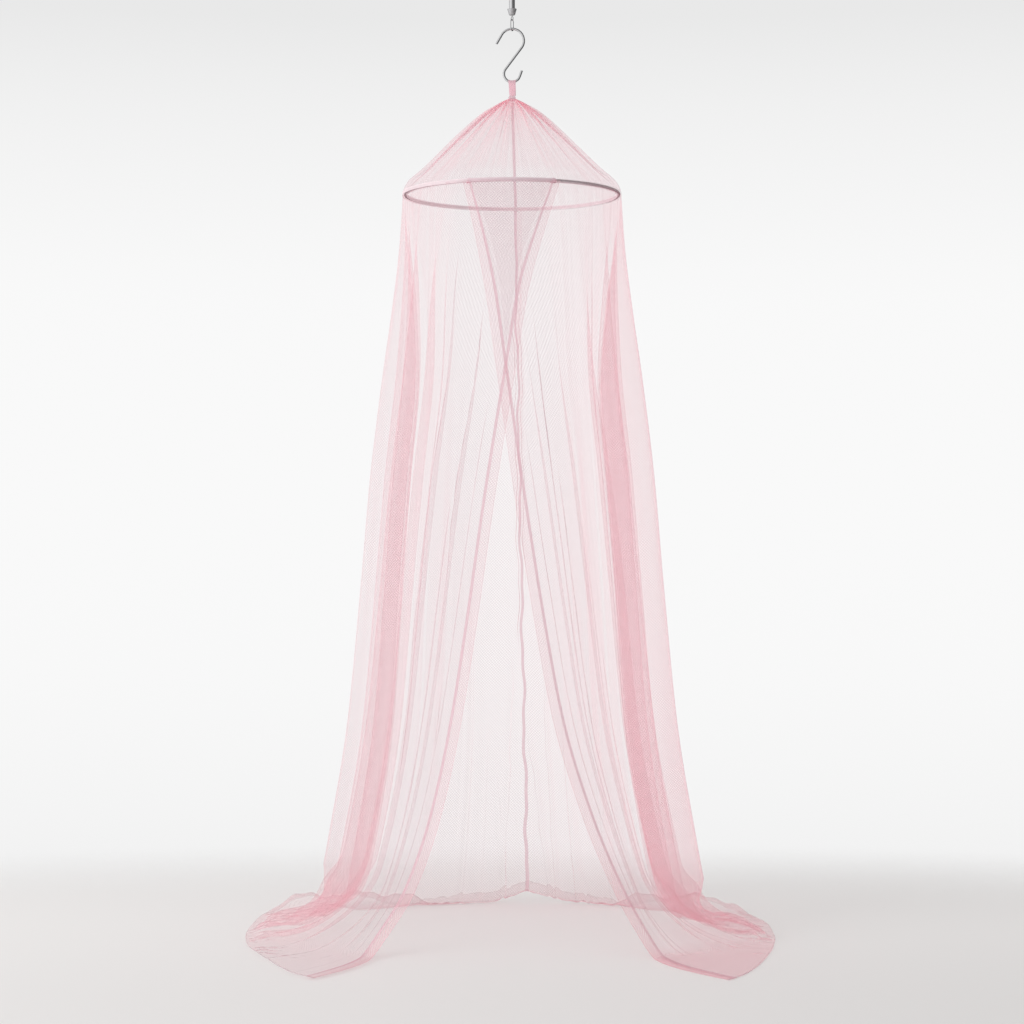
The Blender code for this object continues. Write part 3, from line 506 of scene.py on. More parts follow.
def unit(vectors):
    return vectors / np.maximum(np.linalg.norm(vectors, axis=-1, keepdims=True), 1e-12)


def ring_at(side, share, height):
    """Plan position of the smooth skirt at a share and a height."""
    width, front, back, seam = (column(RING, name, height) for name in ("side", "front", "back", "seam"))
    taped, strip = (column(FRONT_EDGE, name, height) for name in (side, "strip"))
    free = np.arcsin(np.clip((taped - strip) / width, -1, 1))
    sewn = np.arcsin(np.clip((taped + TAPE_WIDTH / 2) / width, -1, 1))
    first = np.arcsin((FRONT_EDGE[side][0] + TAPE_WIDTH / 2) / SKIRT_RADIUS)
    gone = np.clip((share - STRIP_SHARE) / (1 - STRIP_SHARE), 0, 1)
    swept = np.clip(1 - gone / SWEEP_FADE, 0, 1) ** SWEEP_POWER
    angle = first + (pi - first) * gone + (sewn - first) * swept
    angle = angle + (free - sewn) * np.clip(1 - share / STRIP_SHARE, 0, 1)
    drift = past(share, SEAM_DRIFT_SHARE, 1 - SEAM_DRIFT_SHARE)
    angle = angle - SIDES[side]["way"] * np.arcsin(seam / width) * drift
    depth = np.cos(angle)
    low = short_of(height, SQUARED_BEHIND_FROM, SQUARED_BEHIND_FROM)
    behind = np.where(depth < 0, SQUARED_BEHIND, 0.0) * low
    squared = SQUARED * short_of(height, HOOP_HEIGHT, SQUARED_BY) + behind
    depth = np.sign(depth) * np.abs(depth) ** (1 - squared)
    return SIDES[side]["way"] * width * np.sin(angle), (back - front) / 2 - (back + front) / 2 * depth


def smooth_skirt(side, share, fall):
    """The skirt without its folds: points, height above the floor and floor share."""
    way = SIDES[side]["way"]
    out, back, lift, bend = (column(HEM[side], name, share) for name in ("out", "back", "lift", "bend"))
    foot_x, foot_y = ring_at(side, share, np.zeros_like(fall))
    trail_x, trail_y = way * out - foot_x, back - foot_y
    trail = np.hypot(trail_x, trail_y)
    bend = np.minimum(bend, MOST_BEND * trail)
    turn = np.clip((fall - FALL) / (TURN - FALL), 0, 1) * pi / 2
    height = np.where(fall < FALL, SKIRT_TOP + (bend - SKIRT_TOP) * fall / FALL, bend * (1 - np.sin(turn)))
    run = bend * (1 - np.cos(turn)) + (trail - bend) * np.clip((fall - TURN) / (1 - TURN), 0, 1)
    x, y = ring_at(side, share, height)
    swept = SIDES[side]["swept"] * np.sin(pi * np.clip(run / trail, 0, 1)) * (1 - ease(share / SWEPT_SHARE))
    x = x - way * swept
    raised = height + lift * np.clip(1 - height / LIFT_FADE, 0, 1) ** 2
    points = np.stack([x + trail_x / trail * run, y + trail_y / trail * run, raised], -1)
    return points, height, np.clip((fall - FALL) / (1 - FALL), 0, 1)


def crumpled(side, points, share, floor):
    """Cloth on the floor: rolls where the side folds land, fine wrinkles, and its hem standing up behind."""
    half = SIDES[side]
    x, y = points[..., 0], points[..., 1]
    heap_x, heap_y, heap_reach = half["heap"]
    random = np.random.default_rng(half["roll_seed"])
    rolls = np.zeros_like(share)
    for length, size in ROLL_WAVES:
        slant = random.uniform(-0.5, 0.5) + half["roll_slant"]
        bent = wave(x, *ROLL_BEND, random.uniform(0, 6)) + wave(x, *ROLL_BEND_SMALL)
        rolls += size * (0.5 + wave(y + slant * x + bent, length, 0.5, random.uniform(0, 6)))
    heaped = between(floor, *HEAPED_FLOOR) * between(share, *HEAPED_SHARE)
    near = short_of(np.hypot(x - heap_x, y - heap_y), heap_reach, heap_reach)
    lying = between(floor, *LYING_FLOOR) * past(share, *LYING_SHARE)
    slanted = y + wave(x, *WRINKLE_BEND) + WRINKLE_SLANT * x
    broad = wave(slanted, WRINKLE_LENGTH, phase=wave(x, *WRINKLE_PHASE))
    fine = wave(y + FINE_SLANT * x + wave(x, *FINE_BEND), FINE_LENGTH, FINE_WRINKLE)
    patch = ease(0.5 + wave(x, *PATCH_ACROSS) * wave(y, *PATCH_ALONG))
    up = ROLL_HEIGHT * rolls * heaped * near + WRINKLE * (broad + fine) * patch * lying
    standing = past(floor, *STANDING_FLOOR) * between(share, half["stands_from"], *STANDING_SHARE)
    ruffled = RUFFLE + sum(wave(x, *row) for row in RUFFLES)
    moved = points.copy()
    moved[..., 2] += STANDING * standing * ruffled + (1 - standing) * up
    moved[..., 1] += ROLL_PUSH * up * (1 - standing)
    return moved


def folded(side, share, height, floor, wide):
    """How far the folds and creases stand out of the smooth skirt, and how far their crests lean back."""
    gap = column(RING, "crest", height) - column(RING, "side", height)
    raised = np.zeros_like(share)
    leant = np.zeros_like(share)
    for fold in rows_of(FOLDS[side]):
        grown = short_of(height, fold["begins"], fold["begins"] - fold["full"])
        kept = fold["kept"] + (1 - fold["kept"]) * column(KEPT, "share", floor)
        crest = hump(share - fold["share"], fold["reach"]) * kept
        most = MOST_LEAN * fold["reach"] * wide
        raised += (fold["depth"] * grown + fold["of_gap"] * gap) * crest
        leant += np.clip(fold["lean"], -most, most) * crest * grown
    for crease in rows_of(CREASES[side]):
        middle = crease["share"] + crease["drift"] * ease(1 - height / crease["top"])
        grown = between(height, crease["foot"] - CREASE_IN, CREASE_IN, crease["top"], CREASE_OUT)
        crest = hump(share - middle, crease["reach"]) * grown
        most = MOST_LEAN * crease["reach"] * wide
        raised += crease["depth"] * crest
        leant += np.clip(crease["lean"], -most, most) * crest
    landed = between(floor, *LANDED_FLOOR) * between(share, *LANDED_SHARE)
    bend = LANDED_BEND * np.sin(LANDED_TURN * floor + share * LANDED_DRIFT)
    for pitch, depth in LANDED_WAVES:
        raised += depth * (0.5 + wave(share, pitch, 0.5, bend)) * landed
    return raised, leant


def skirt_surface(side, share, fall, outwards=0.0):
    """Points of half the skirt with its folds and creases, moved outwards from the middle of the cloth."""
    points, height, floor = smooth_skirt(side, share, fall)
    across = (
        smooth_skirt(side, np.minimum(share + NUDGE, 1), fall)[0]
        - smooth_skirt(side, np.maximum(share - NUDGE, 0), fall)[0]
    )
    down = (
        smooth_skirt(side, share, np.minimum(fall + NUDGE, 1))[0]
        - smooth_skirt(side, share, np.maximum(fall - NUDGE, 0))[0]
    )
    out = unit(np.cross(across, down)) * -SIDES[side]["way"]
    raised, leant = folded(side, share, height, floor, np.linalg.norm(across, axis=-1) / (2 * NUDGE))
    lapped = np.full_like(share, outwards)
    if side == "left":
        lap = LAP_AT_HOOP + (PANEL_LAP - LAP_AT_HOOP) * ease(fall / LAP_FALL)
        lapped += lap * (1 - past(share, LAP_SHARE, LAP_FADE))
    points = points + out * lapped[..., None] + out * (1.0, 1.0, FOLD_RISE) * raised[..., None]
    points = points + unit(across) * leant[..., None]
    seamed = past(share, *SEAMED_SHARE) * between(height, *SEAMED_HEIGHT)
    points[..., 0] += sum(wave(height, *row) for row in SEAM_WAVES) * seamed
    edge = np.exp(-np.minimum(1 - share, share + PUCKER_OFF_EDGE) / PUCKER_SHARE)
    edge = edge * ease(height / PUCKER_FOOT)
    pucker = wave(height, PUCKER_LENGTH, PUCKER, wave(height, *PUCKER_PHASE)) * edge
    points = crumpled(side, points + out * pucker[..., None], share, floor)
    points[..., 2] = np.maximum(points[..., 2], FLOOR_LIFT + outwards)
    return points + (0.0, 0.0, FLOOR)


def crown_gathers():
    """Fine folds round the crown, spread evenly but for a random shift of each."""
    random = np.random.default_rng(GATHERS["seed"])
    for i in range(GATHERS["count"]):
        made = {name: random.uniform(*GATHERS[name]) for name in ("reach", "depth", "ends")}
        made["angle"] = 360 / GATHERS["count"] * (i + random.uniform(-GATHERS["shift"], GATHERS["shift"]))
        made["lean"] = made["depth"] * random.uniform(-GATHERS["lean"], GATHERS["lean"])
        yield made


def crown_height_radius(down):
    places = np.linspace(0, 1, len(CROWN["height"]))
    return along(down, places, CROWN["height"]), along(down, places, CROWN["radius"])


def crown_surface(angle, down, outwards=0.0):
    """Points of the crown: angle round it in degrees, down from 0 at the gather to 1 at the hoop."""
    height, plain = crown_height_radius(down)
    turn = np.array(angle, float)
    depths = []
    for folds in (rows_of(CROWN_FOLDS), crown_gathers()):
        deep = np.zeros_like(plain)
        for fold in folds:
            off = (angle - fold["angle"] + 180) % 360 - 180
            crest = hump(off, fold["reach"]) * np.sin(pi * np.clip(down / fold["ends"], 0, 1) ** CROWN_SWELL)
            deep += np.minimum(fold["depth"], MOST_CROWN_FOLD * plain) * crest
            most = MOST_CROWN_LEAN * fold["reach"]
            turn += np.clip(np.degrees(fold["lean"] / plain), -most, most) * crest
        depths.append(deep)
    broad, fine = depths
    slope = np.arctan2(-np.gradient(height, axis=0), np.gradient(plain, axis=0))
    sunk = np.minimum(FINE_SUNK * fine, MOST_SUNK * plain)
    radius = plain + broad + fine - sunk.mean(axis=1, keepdims=True) + outwards * np.sin(slope)
    height = height + outwards * np.cos(slope)
    turn = np.radians(turn)
    return np.stack([radius * np.cos(turn), radius * np.sin(turn), height + FLOOR], -1)


# ---- meshes --------------------------------------------------------------------------------------
def lengths(points, axis):
    """Distance along each row or column of a grid of points, from its start."""
    steps = np.linalg.norm(np.diff(points, axis=axis), axis=-1)
    start = np.zeros_like(np.take(steps, [0], axis=axis))
    return np.concatenate([start, np.cumsum(steps, axis=axis)], axis=axis)


def flat_places(points):
    """Each grid point's place on the flat cloth, in metres."""
    across = lengths(points, 1)
    return np.stack([across - across[:, -1:] / 2, lengths(points, 0)], -1)


def ring_points(radius, angle, height):
    """Points at a radius and an angle round Z."""
    return np.stack([radius * np.cos(angle), radius * np.sin(angle), height], -1)


def new_object(name, mesh):
    piece = bpy.data.objects.new(name, mesh)
    bpy.context.scene.collection.objects.link(piece)
    return piece


def mesh_piece(name, points, faces, flat=None):
    """A smooth mesh from points and quads, with places on the flat cloth as a UV map if they are given."""
    mesh = bpy.data.meshes.new(name)
    points = np.asarray(points, float).reshape(-1, 3)
    mesh.from_pydata(points.tolist(), [], np.asarray(faces, int).tolist())
    if flat is not None:
        weave = mesh.uv_layers.new(name="Weave")
        corner = np.zeros(len(mesh.loops), int)
        mesh.loops.foreach_get("vertex_index", corner)
        weave.uv.foreach_set("vector", np.asarray(flat, np.float32).reshape(-1, 2)[corner].ravel())
    mesh.shade_smooth()
    mesh.update()
    return new_object(name, mesh)


def grid_faces(rows, columns, ring=False, turned=False):
    r, c = np.meshgrid(np.arange(rows - 1), np.arange(columns if ring else columns - 1), indexing="ij")
    d = (c + 1) % columns
    faces = np.stack([r * columns + c, r * columns + d, (r + 1) * columns + d, (r + 1) * columns + c], -1)
    faces = faces.reshape(-1, 4)
    return faces[:, ::-1] if turned else faces


def turned_piece(name, radii, heights, steps=64):
    """A closed profile turned about Z, with its two ends on the axis."""
    turns = np.linspace(0, 2 * pi, steps, endpoint=False)
    rings = [ring_points(radius, turns, np.full(steps, height)) for radius, height in zip(radii, heights)]
    piece = mesh_piece(name, np.array(rings), grid_faces(len(rings), steps, ring=True))
    made = bmesh.new()
    made.from_mesh(piece.data)
    bmesh.ops.remove_doubles(made, verts=made.verts, dist=1e-6)
    bmesh.ops.holes_fill(made, edges=[e for e in made.edges if e.is_boundary])
    bmesh.ops.recalc_face_normals(made, faces=made.faces)
    made.to_mesh(piece.data)
    made.free()
    piece.data.set_sharp_from_angle(angle=radians(40))
    return piece


def finish_piece(piece, finish, slot, *nodes):
    """Gives a piece its finish, lets it ride on the frame and stand for the solids that it replaces."""
    if not piece.data.materials:
        piece.data.materials.append(finish_of(finish))
    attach(piece, "root")
    if nodes:
        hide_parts(*nodes)
    return piece


def add_cloth(
    name, points, finish, slot, *nodes, ring=False, turned=False, flat=None, fullness=1.0, bunched=0.0
):
    """A sheet of cloth: fullness is its layers of net, and bunched is 1 where it is gathered into folds,
    which lifts the net's painted shade.
    """
    rows, columns = points.shape[:2]
    flat = flat_places(points) if flat is None else flat
    piece = mesh_piece(name, points, grid_faces(rows, columns, ring, turned), flat)
    for kind, values in (("fullness", fullness), ("bunched", bunched)):
        made = piece.data.attributes.new(kind, "FLOAT", "POINT")
        made.data.foreach_set("value", np.broadcast_to(values, (rows, columns)).astype(np.float32).ravel())
    return finish_piece(piece, finish, slot, *nodes)


# ---- node trees ----------------------------------------------------------------------------------
class Signal:
    """A node's output that Python's operators work on."""

    def __init__(self, nodes, socket):
        self.nodes = nodes
        self.socket = socket

    def output(self, name):
        """Another output of the same node."""
        return Signal(self.nodes, self.socket.node.outputs[name])

    def math(self, operation, *others, clamp=False):
        settings = {"operation": operation, "use_clamp": clamp}
        return self.nodes.node("ShaderNodeMath", settings, (self, *others))

    def held(self):
        """The same, but never below 0 or above 1."""
        return self.math("MAXIMUM", 0.0).math("MINIMUM", 1.0)

    def __add__(self, other):
        return self.math("ADD", other)

    __radd__ = __add__

    def __mul__(self, other):
        return self.math("MULTIPLY", other)

    __rmul__ = __mul__

    def __sub__(self, other):
        return self.math("SUBTRACT", other)

    def __rsub__(self, other):
        return self.math("MULTIPLY_ADD", -1.0, other)

    def __truediv__(self, other):
        return self.math("DIVIDE", other)

    def __rtruediv__(self, other):
        return self.math("POWER", -1.0) * other

    def __pow__(self, other):
        return self.math("POWER", other)

    def __rpow__(self, other):
        return self.nodes.node("ShaderNodeMath", {"operation": "POWER"}, (other, self))


class Nodes:
    """A node tree that grows by one method."""

    def __init__(self, tree):
        self.tree = tree
        tree.nodes.clear()

    def node(self, kind, settings=None, inputs=(), out=0):
        """Adds a node, sets it up and returns an output. Inputs are given in order or by name."""
        made = self.tree.nodes.new(kind)
        for name, value in (settings or {}).items():
            if name == "stops":
                for i, (place, tone) in enumerate(value):
                    stop = made.color_ramp.elements[i] if i < 2 else made.color_ramp.elements.new(place)
                    stop.position, stop.color = place, (tone, tone, tone, 1)
            else:
                setattr(made, name, value)
        for name, value in (inputs if isinstance(inputs, dict) else dict(enumerate(inputs))).items():
            if isinstance(value, Signal):
                self.tree.links.new(value.socket, made.inputs[name])
            else:
                made.inputs[name].default_value = value
        return Signal(self, made.outputs[out])

    def mix(self, share, first, second):
        """A colour between two colours."""
        inputs = {"Factor": share, 6: first, 7: second}
        return self.node("ShaderNodeMix", {"data_type": "RGBA"}, inputs, out=2)

    def close(self, kind, shader):
        """Ends a tree of shaders."""
        self.tree.links.new(shader.socket, self.tree.nodes.new(kind).inputs["Surface"])


class Grower(Nodes):
    """A Geometry Nodes tree with named sizes and a finish."""

    def __init__(self, name, **sizes):
        super().__init__(bpy.data.node_groups.new(name, "GeometryNodeTree"))
        face = self.tree.interface
        face.new_socket("Geometry", in_out="INPUT", socket_type="NodeSocketGeometry")
        for label, size in sizes.items():
            kind = "NodeSocketInt" if isinstance(size, int) else "NodeSocketFloat"
            face.new_socket(label, in_out="INPUT", socket_type=kind).default_value = size
        face.new_socket("Finish", in_out="INPUT", socket_type="NodeSocketMaterial")
        face.new_socket("Geometry", in_out="OUTPUT", socket_type="NodeSocketGeometry")
        self.start = self.tree.nodes.new("NodeGroupInput")
        self.end = self.tree.nodes.new("NodeGroupOutput")

    def __getitem__(self, name):
        return Signal(self, self.start.outputs[name])

    def circle(self, steps, radius):
        return self.node("GeometryNodeCurvePrimitiveCircle", inputs={"Resolution": steps, "Radius": radius})

    def finished(self, geometry):
        """Realizes what was instanced, sets the finish and ends the tree."""
        real = self.node("GeometryNodeRealizeInstances", inputs=(geometry,))
        painted = self.node("GeometryNodeSetMaterial", inputs={0: real, "Material": self["Finish"]})
        self.tree.links.new(painted.socket, self.end.inputs[0])
        return self.tree


def wire_tree():
    """Round wire swept along the edges of a path, with flat ends."""
    made = Grower("Round Wire", Radius=0.002, Sides=WIRE_SIDES)
    path = made.node("GeometryNodeMeshToCurve", inputs=(made["Geometry"],))
    section = made.circle(made["Sides"], made["Radius"])
    swept = made.node(
        "GeometryNodeCurveToMesh", inputs={"Curve": path, "Profile Curve": section, "Fill Caps": True}
    )
    return made.finished(made.node("GeometryNodeSetShadeSmooth", inputs=(swept,)))


def hoop_tree():
    """Round tube bent into a level hoop."""
    made = Grower("Bent Hoop", Radius=HOOP_RADIUS, Tube=HOOP_TUBE, Height=HOOP_HEIGHT + FLOOR)
    ring = made.circle(HOOP_STEPS, made["Radius"])
    section = made.circle(TUBE_SIDES, made["Tube"])
    swept = made.node("GeometryNodeCurveToMesh", inputs={"Curve": ring, "Profile Curve": section})
    place = made.node("ShaderNodeCombineXYZ", inputs={"Z": made["Height"]})
    raised = made.node("GeometryNodeTransform", inputs={"Geometry": swept, "Translation": place})
    return made.finished(made.node("GeometryNodeSetShadeSmooth", inputs=(raised,)))


def stitch_tree():
    """Short thread stitches spaced along the edges of a path."""
    made = Grower("Thread Stitches", Pitch=0.0045, Thread=STITCH_THREAD, Length=0.0031)
    path = made.node("GeometryNodeMeshToCurve", inputs=(made["Geometry"],))
    inputs = {"Curve": path, "Length": made["Pitch"]}
    spaced = made.node("GeometryNodeCurveToPoints", {"mode": "LENGTH"}, inputs, out="Points")
    stitch = made.node(
        "GeometryNodeMeshCylinder",
        inputs={"Vertices": STITCH_SIDES, "Radius": made["Thread"], "Depth": made["Length"]},
        out="Mesh",
    )
    along_path = {"Vector": spaced.output("Tangent")}
    aimed = made.node("FunctionNodeAlignRotationToVector", {"axis": "Z"}, along_path)
    placed = made.node(
        "GeometryNodeInstanceOnPoints", inputs={"Points": spaced, "Instance": stitch, "Rotation": aimed}
    )
    return made.finished(placed)


def grown_piece(name, label, make, sizes, finish, path=(), closed=False):
    """The plain mesh that a node tree makes from a path of points."""
    edges = [(i, i + 1) for i in range(len(path) - 1)] + ([(len(path) - 1, 0)] if closed else [])
    mesh = bpy.data.meshes.new(name + "_path")
    mesh.from_pydata([tuple(map(float, point)) for point in path], edges, [])
    start = new_object(name + "_path", mesh)
    grower = start.modifiers.new("Grow", "NODES")
    grower.node_group = bpy.data.node_groups.get(label) or make()
    items = grower.node_group.interface.items_tree
    sockets = {item.name: item.identifier for item in items if item.in_out == "INPUT"}
    for size, value in {**sizes, "Finish": finish_of(finish)}.items():
        grower[sockets[size]] = value
    grown = bpy.data.meshes.new_from_object(start.evaluated_get(bpy.context.evaluated_depsgraph_get()))
    bpy.data.objects.remove(start, do_unlink=True)
    grown.name = name
    return new_object(name, grown)


def add_wire(name, path, radius, finish, slot, *nodes, closed=False):
    sizes = {"Radius": radius, "Sides": WIRE_SIDES}
    piece = grown_piece(name, "Round Wire", wire_tree, sizes, finish, path, closed)
    return finish_piece(piece, finish, slot, *nodes)


def add_stitches(name, path, net):
    sizes = {"Pitch": net.stitch_pitch, "Thread": STITCH_THREAD, "Length": net.stitch_pitch * STITCH_LENGTH}
    piece = grown_piece(name, "Thread Stitches", stitch_tree, sizes, "sewing_thread", path)
    return finish_piece(piece, "sewing_thread", "tape")


# ---- finishes ------------------------------------------------------------------------------------
class Finish(Nodes):
    """A material and its node tree."""

    def __init__(self, name, colour):
        self.material = bpy.data.materials.new(name)
        self.material.use_nodes = True
        self.material.diffuse_color = opaque(colour)
        super().__init__(self.material.node_tree)

    def finished(self, shader):
        self.close("ShaderNodeOutputMaterial", shader)
        return self.material

    def cloth(self, shown, front, through, share, clear=1.0):
        """Ends the tree as cloth that light shines through, as dense as its share that is shown."""
        front = self.node("ShaderNodeBsdfPrincipled", inputs={"Specular IOR Level": DULL, **front})
        through = self.node("ShaderNodeBsdfTranslucent", inputs={"Color": through})
        cloth = self.node("ShaderNodeMixShader", inputs=(share, front, through))
        empty = self.node("ShaderNodeBsdfTransparent", inputs={"Color": opaque((clear, clear, clear))})
        return self.finished(self.node("ShaderNodeMixShader", inputs=(shown, empty, cloth)))

    def surface(self, inputs):
        """Ends the tree as a plain surface."""
        return self.finished(self.node("ShaderNodeBsdfPrincipled", inputs=inputs))

    def attribute(self, name):
        return self.node("ShaderNodeAttribute", {"attribute_name": name}, out="Fac")

    def noise(self, place, scale, detail):
        return self.node("ShaderNodeTexNoise", inputs={"Vector": place, "Scale": scale, "Detail": detail})


def opaque(colour, shade=1.0):
    """A colour times a shade, with full alpha."""
    return (*(shade * part for part in colour), 1.0)


def crossing_threads(finish, pitch, half_width):
    """1 on the threads that cross the flat cloth on both slants, 0 between them."""
    u = finish.node("ShaderNodeSeparateXYZ", inputs=(finish.node("ShaderNodeUVMap", {"uv_map": "Weave"}),))
    v = u.output("Y")
    lines = []
    for place in (u + v, u - v):
        away = ((place / pitch).math("FRACT") - 0.5).math("ABSOLUTE")
        lines.append((2 * half_width - away).math("DIVIDE", half_width, clamp=True))
    return lines[0].math("MAXIMUM", lines[1])


def net_finish(name, net):
    """Sheer net: crossing threads that cover more of what is behind where the cloth turns edge on, with
    painted shade that greys single layers and edge-on net.
    """
    finish = Finish(name, net.thread_colour)
    half = net.thread_width / net.mesh_pitch / 2
    thread = crossing_threads(finish, net.mesh_pitch, half)
    straight = 1.0 - finish.node("ShaderNodeLayerWeight", inputs={"Blend": 0.5}, out="Facing")
    even = 1 - (1 - 2 * half) ** 2
    told_apart = ((straight - WEAVE_LOST) / WEAVE_CLEARS).held()
    thread = (thread - even) * told_apart + even
    cover = thread * (net.thread_cover - net.open_cover) + net.open_cover
    bunched = finish.attribute("bunched")
    layers = finish.attribute("fullness") / straight.math("MAXIMUM", net.edge_limit)
    edge_on = (1.0 - straight / EDGE_ON - bunched).math("MAXIMUM", 0.0)
    shown = 1.0 - (1.0 - cover) ** (layers * (edge_on * EDGE_DENSER + 1.0))
    # painted shade: a single layer takes a darker, greyer colour for the shaded sides of its threads; more
    # layers and gathered folds bring back the full colour
    bright = ((layers - 1.0) / BRIGHT_LAYERS + bunched).held()
    # painted shade: where the net is seen edge on it takes a darker grey, for threads that shade each other
    outline = (edge_on * OUTLINE_GAIN).math("MINIMUM", 1.0)
    shaded = finish.mix(bright, opaque(net.single_shade_colour), opaque(net.thread_colour))
    front = {"Base Color": finish.mix(outline, shaded, opaque(net.edge_shade_colour)), "Roughness": 0.75}
    share = NET_THROUGH - outline * OUTLINE_THROUGH
    return finish.cloth(shown, front, opaque(net.thread_colour), share, NET_CLEAR)


def tape_finish(name, base, cover):
    """Close woven cloth with crossing ribs, a little see-through."""
    finish = Finish(name, base)
    ribs = crossing_threads(finish, RIB_PITCH, RIB_HALF)
    shaded = finish.mix(ribs, opaque(base, 0.86), opaque(base))
    bump = finish.node("ShaderNodeBump", inputs={"Strength": 0.4, "Distance": 0.0002, "Height": ribs})
    shown = (ribs * (1 - cover) * RIB_COVER + cover) * finish.attribute("fullness")
    return finish.cloth(shown, {"Base Color": shaded, "Roughness": 0.8, "Normal": bump}, shaded, TAPE_THROUGH)


def thread_finish(name, net):
    """Sewing thread with a fine twist."""
    finish = Finish(name, net.tape_colour)
    twist = finish.noise(finish.node("ShaderNodeTexCoord", out="Object"), 900.0, 1.0)
    shaded = finish.mix(twist, opaque(net.tape_colour, 0.8), opaque(net.tape_colour))
    return finish.surface({"Base Color": shaded, "Roughness": 0.7})


def steel_finish(name, steel, duller=0.0):
    """Plated steel with faint drawing marks and a little haze, bright unless it is made duller."""
    finish = Finish(name, steel.colour)
    place = finish.node("ShaderNodeTexCoord", out="Object")
    haze = finish.noise(place, 60.0, 3.0)
    marks = finish.noise(place, 700.0, 2.0)
    bump = {"Strength": 0.12, "Distance": 0.0001, "Height": marks}
    inputs = {
        "Base Color": finish.mix(haze, opaque(steel.colour, 0.9), opaque(steel.colour)),
        "Metallic": 1.0,
        "Roughness": haze * HAZE + (steel.roughness + duller - HAZE_LESS),
        "Normal": finish.node("ShaderNodeBump", inputs=bump),
    }
    return finish.surface(inputs)


FINISHES = {
    "sheer_net": lambda name, canopy: net_finish(name, canopy.net),
    "sewing_thread": lambda name, canopy: thread_finish(name, canopy.net),
    "woven_binding": lambda name, canopy: tape_finish(name, canopy.net.tape_colour, canopy.net.tape_cover),
    "folded_net_edge": lambda name, canopy: tape_finish(name, canopy.net.seam_colour, canopy.net.seam_cover),
    # Painted light: the hoop's casing is paler than the net's binding, to make up for the shade that it lies
    # in beside the tube
    "hoop_casing": lambda name, canopy: tape_finish(name, (0.96, 0.83, 0.86), 0.75),
    "loop_binding": lambda name, canopy: tape_finish(name, (0.84, 0.57, 0.63), 0.85),
    "plated_steel": lambda name, canopy: steel_finish(name, canopy.steel),
    "satin_steel": lambda name, canopy: steel_finish(name, canopy.steel, 0.35),
}


def finish_of(name):
    """The finish of that name, made the first time that it is asked for."""
    return bpy.data.materials.get(name) or FINISHES[name](name, bpy.context.scene.canopy)


# ---- settings ------------------------------------------------------------------------------------
def colour(name, description, *default):
    return FloatVectorProperty(
        name=name, description=description, subtype="COLOR", default=default, min=0.0, max=1.0
    )


def factor(name, description, default, least=0.0):
    return FloatProperty(
        name=name, description=description, subtype="FACTOR", default=default, min=least, max=1.0
    )


def length(name, description, default, least=0.0):
    return FloatProperty(name=name, description=description, unit="LENGTH", default=default, min=least)


def amount(name, description, default, least=0.0, unit="NONE"):
    return FloatProperty(name=name, description=description, unit=unit, default=default, min=least)


def whole(name, description, default, least=0, most=1000):
    return IntProperty(name=name, description=description, default=default, min=least, max=most)


class NetSettings(bpy.types.PropertyGroup):
    """Sizes and colours of the net and its binding."""

    thread_colour: colour("Thread Colour", "Colour of the net where it lies in many layers", 0.93, 0.46, 0.53)
    # Painted shade: the darker, greyer colour of a single layer of net, for the shaded sides of its threads
    single_shade_colour: colour("Single Net Colour", "Colour of a single layer of net", 0.57, 0.41, 0.46)
    # Painted shade: the darker grey that the net takes where it is seen edge on, for threads that shade each
    # other
    edge_shade_colour: colour("Edge On Colour", "Colour of the net where it is seen edge on", 0.47, 0.41, 0.44)
    tape_colour: colour("Binding Colour", "Colour of the binding and the sewing thread", 0.74, 0.50, 0.56)
    mesh_pitch: length("Mesh Pitch", "Distance between neighbouring threads along the cloth", 0.0086, 0.001)
    thread_width: length("Thread Width", "Width of the net's thread", 0.0017, 0.0001)
    thread_cover: factor("Thread Cover", "How much a thread hides of what is behind it", 0.122)
    open_cover: factor("Open Cover", "How much the open net hides of what is behind it", 0.037)
    crown_fullness: amount("Crown Fullness", "How quickly the crown's net closes up towards the gather", 0.5)
    edge_limit: factor("Edge Limit", "Cosine below which the net gets no denser", 0.42, 0.02)
    tape_cover: factor("Binding Cover", "How much the binding hides of what is behind it", 0.26)
    columns: whole("Columns", "Columns of each half of the skirt", 280, 50)
    hanging_rows: whole("Hanging Rows", "Rows from hoop to floor", 105, 20)
    floor_rows: whole("Floor Rows", "Rows on the floor", 66, 10)
    hem_depth: length("Hem Depth", "Depth of the turned hem at the back", 0.045, 0.005)
    hem_front: length("Front Hem", "Depth of the turned hem round the front", 0.0035, 0.002)
    seam_colour: colour("Seam Colour", "Colour of the net lapped over the hoop's front", 0.79, 0.66, 0.70)
    seam_cover: factor("Seam Cover", "How much that folded net hides of the hoop", 0.55)
    hem_fullness: amount("Hem Fullness", "Fullness of each turn of the hem", 0.40, 0.1)
    strip_fullness: amount("Strip Fullness", "Layers of net outside the front bindings", 2.2, 1.0)
    back_fullness: amount("Back Fullness", "Layers of net gathered at the back", 1.9, 1.0)
    edge_fullness: amount("Edge Fullness", "Layers of net rolled into the free front edge", 3.0, 1.0)
    overlap_layers: whole("Overlap Layers", "Extra layers of net between the front edges", 1, 0, 4)
    stitch_pitch: length("Stitch Pitch", "Distance from stitch to stitch", 0.0045, 0.001)


class SteelSettings(bpy.types.PropertyGroup):
    """Finish of the hoop and the hanging hardware."""

    colour: colour("Steel Colour", "Colour of the plated steel", 0.62, 0.62, 0.63)
    roughness: factor("Roughness", "Roughness of the plating", 0.20)


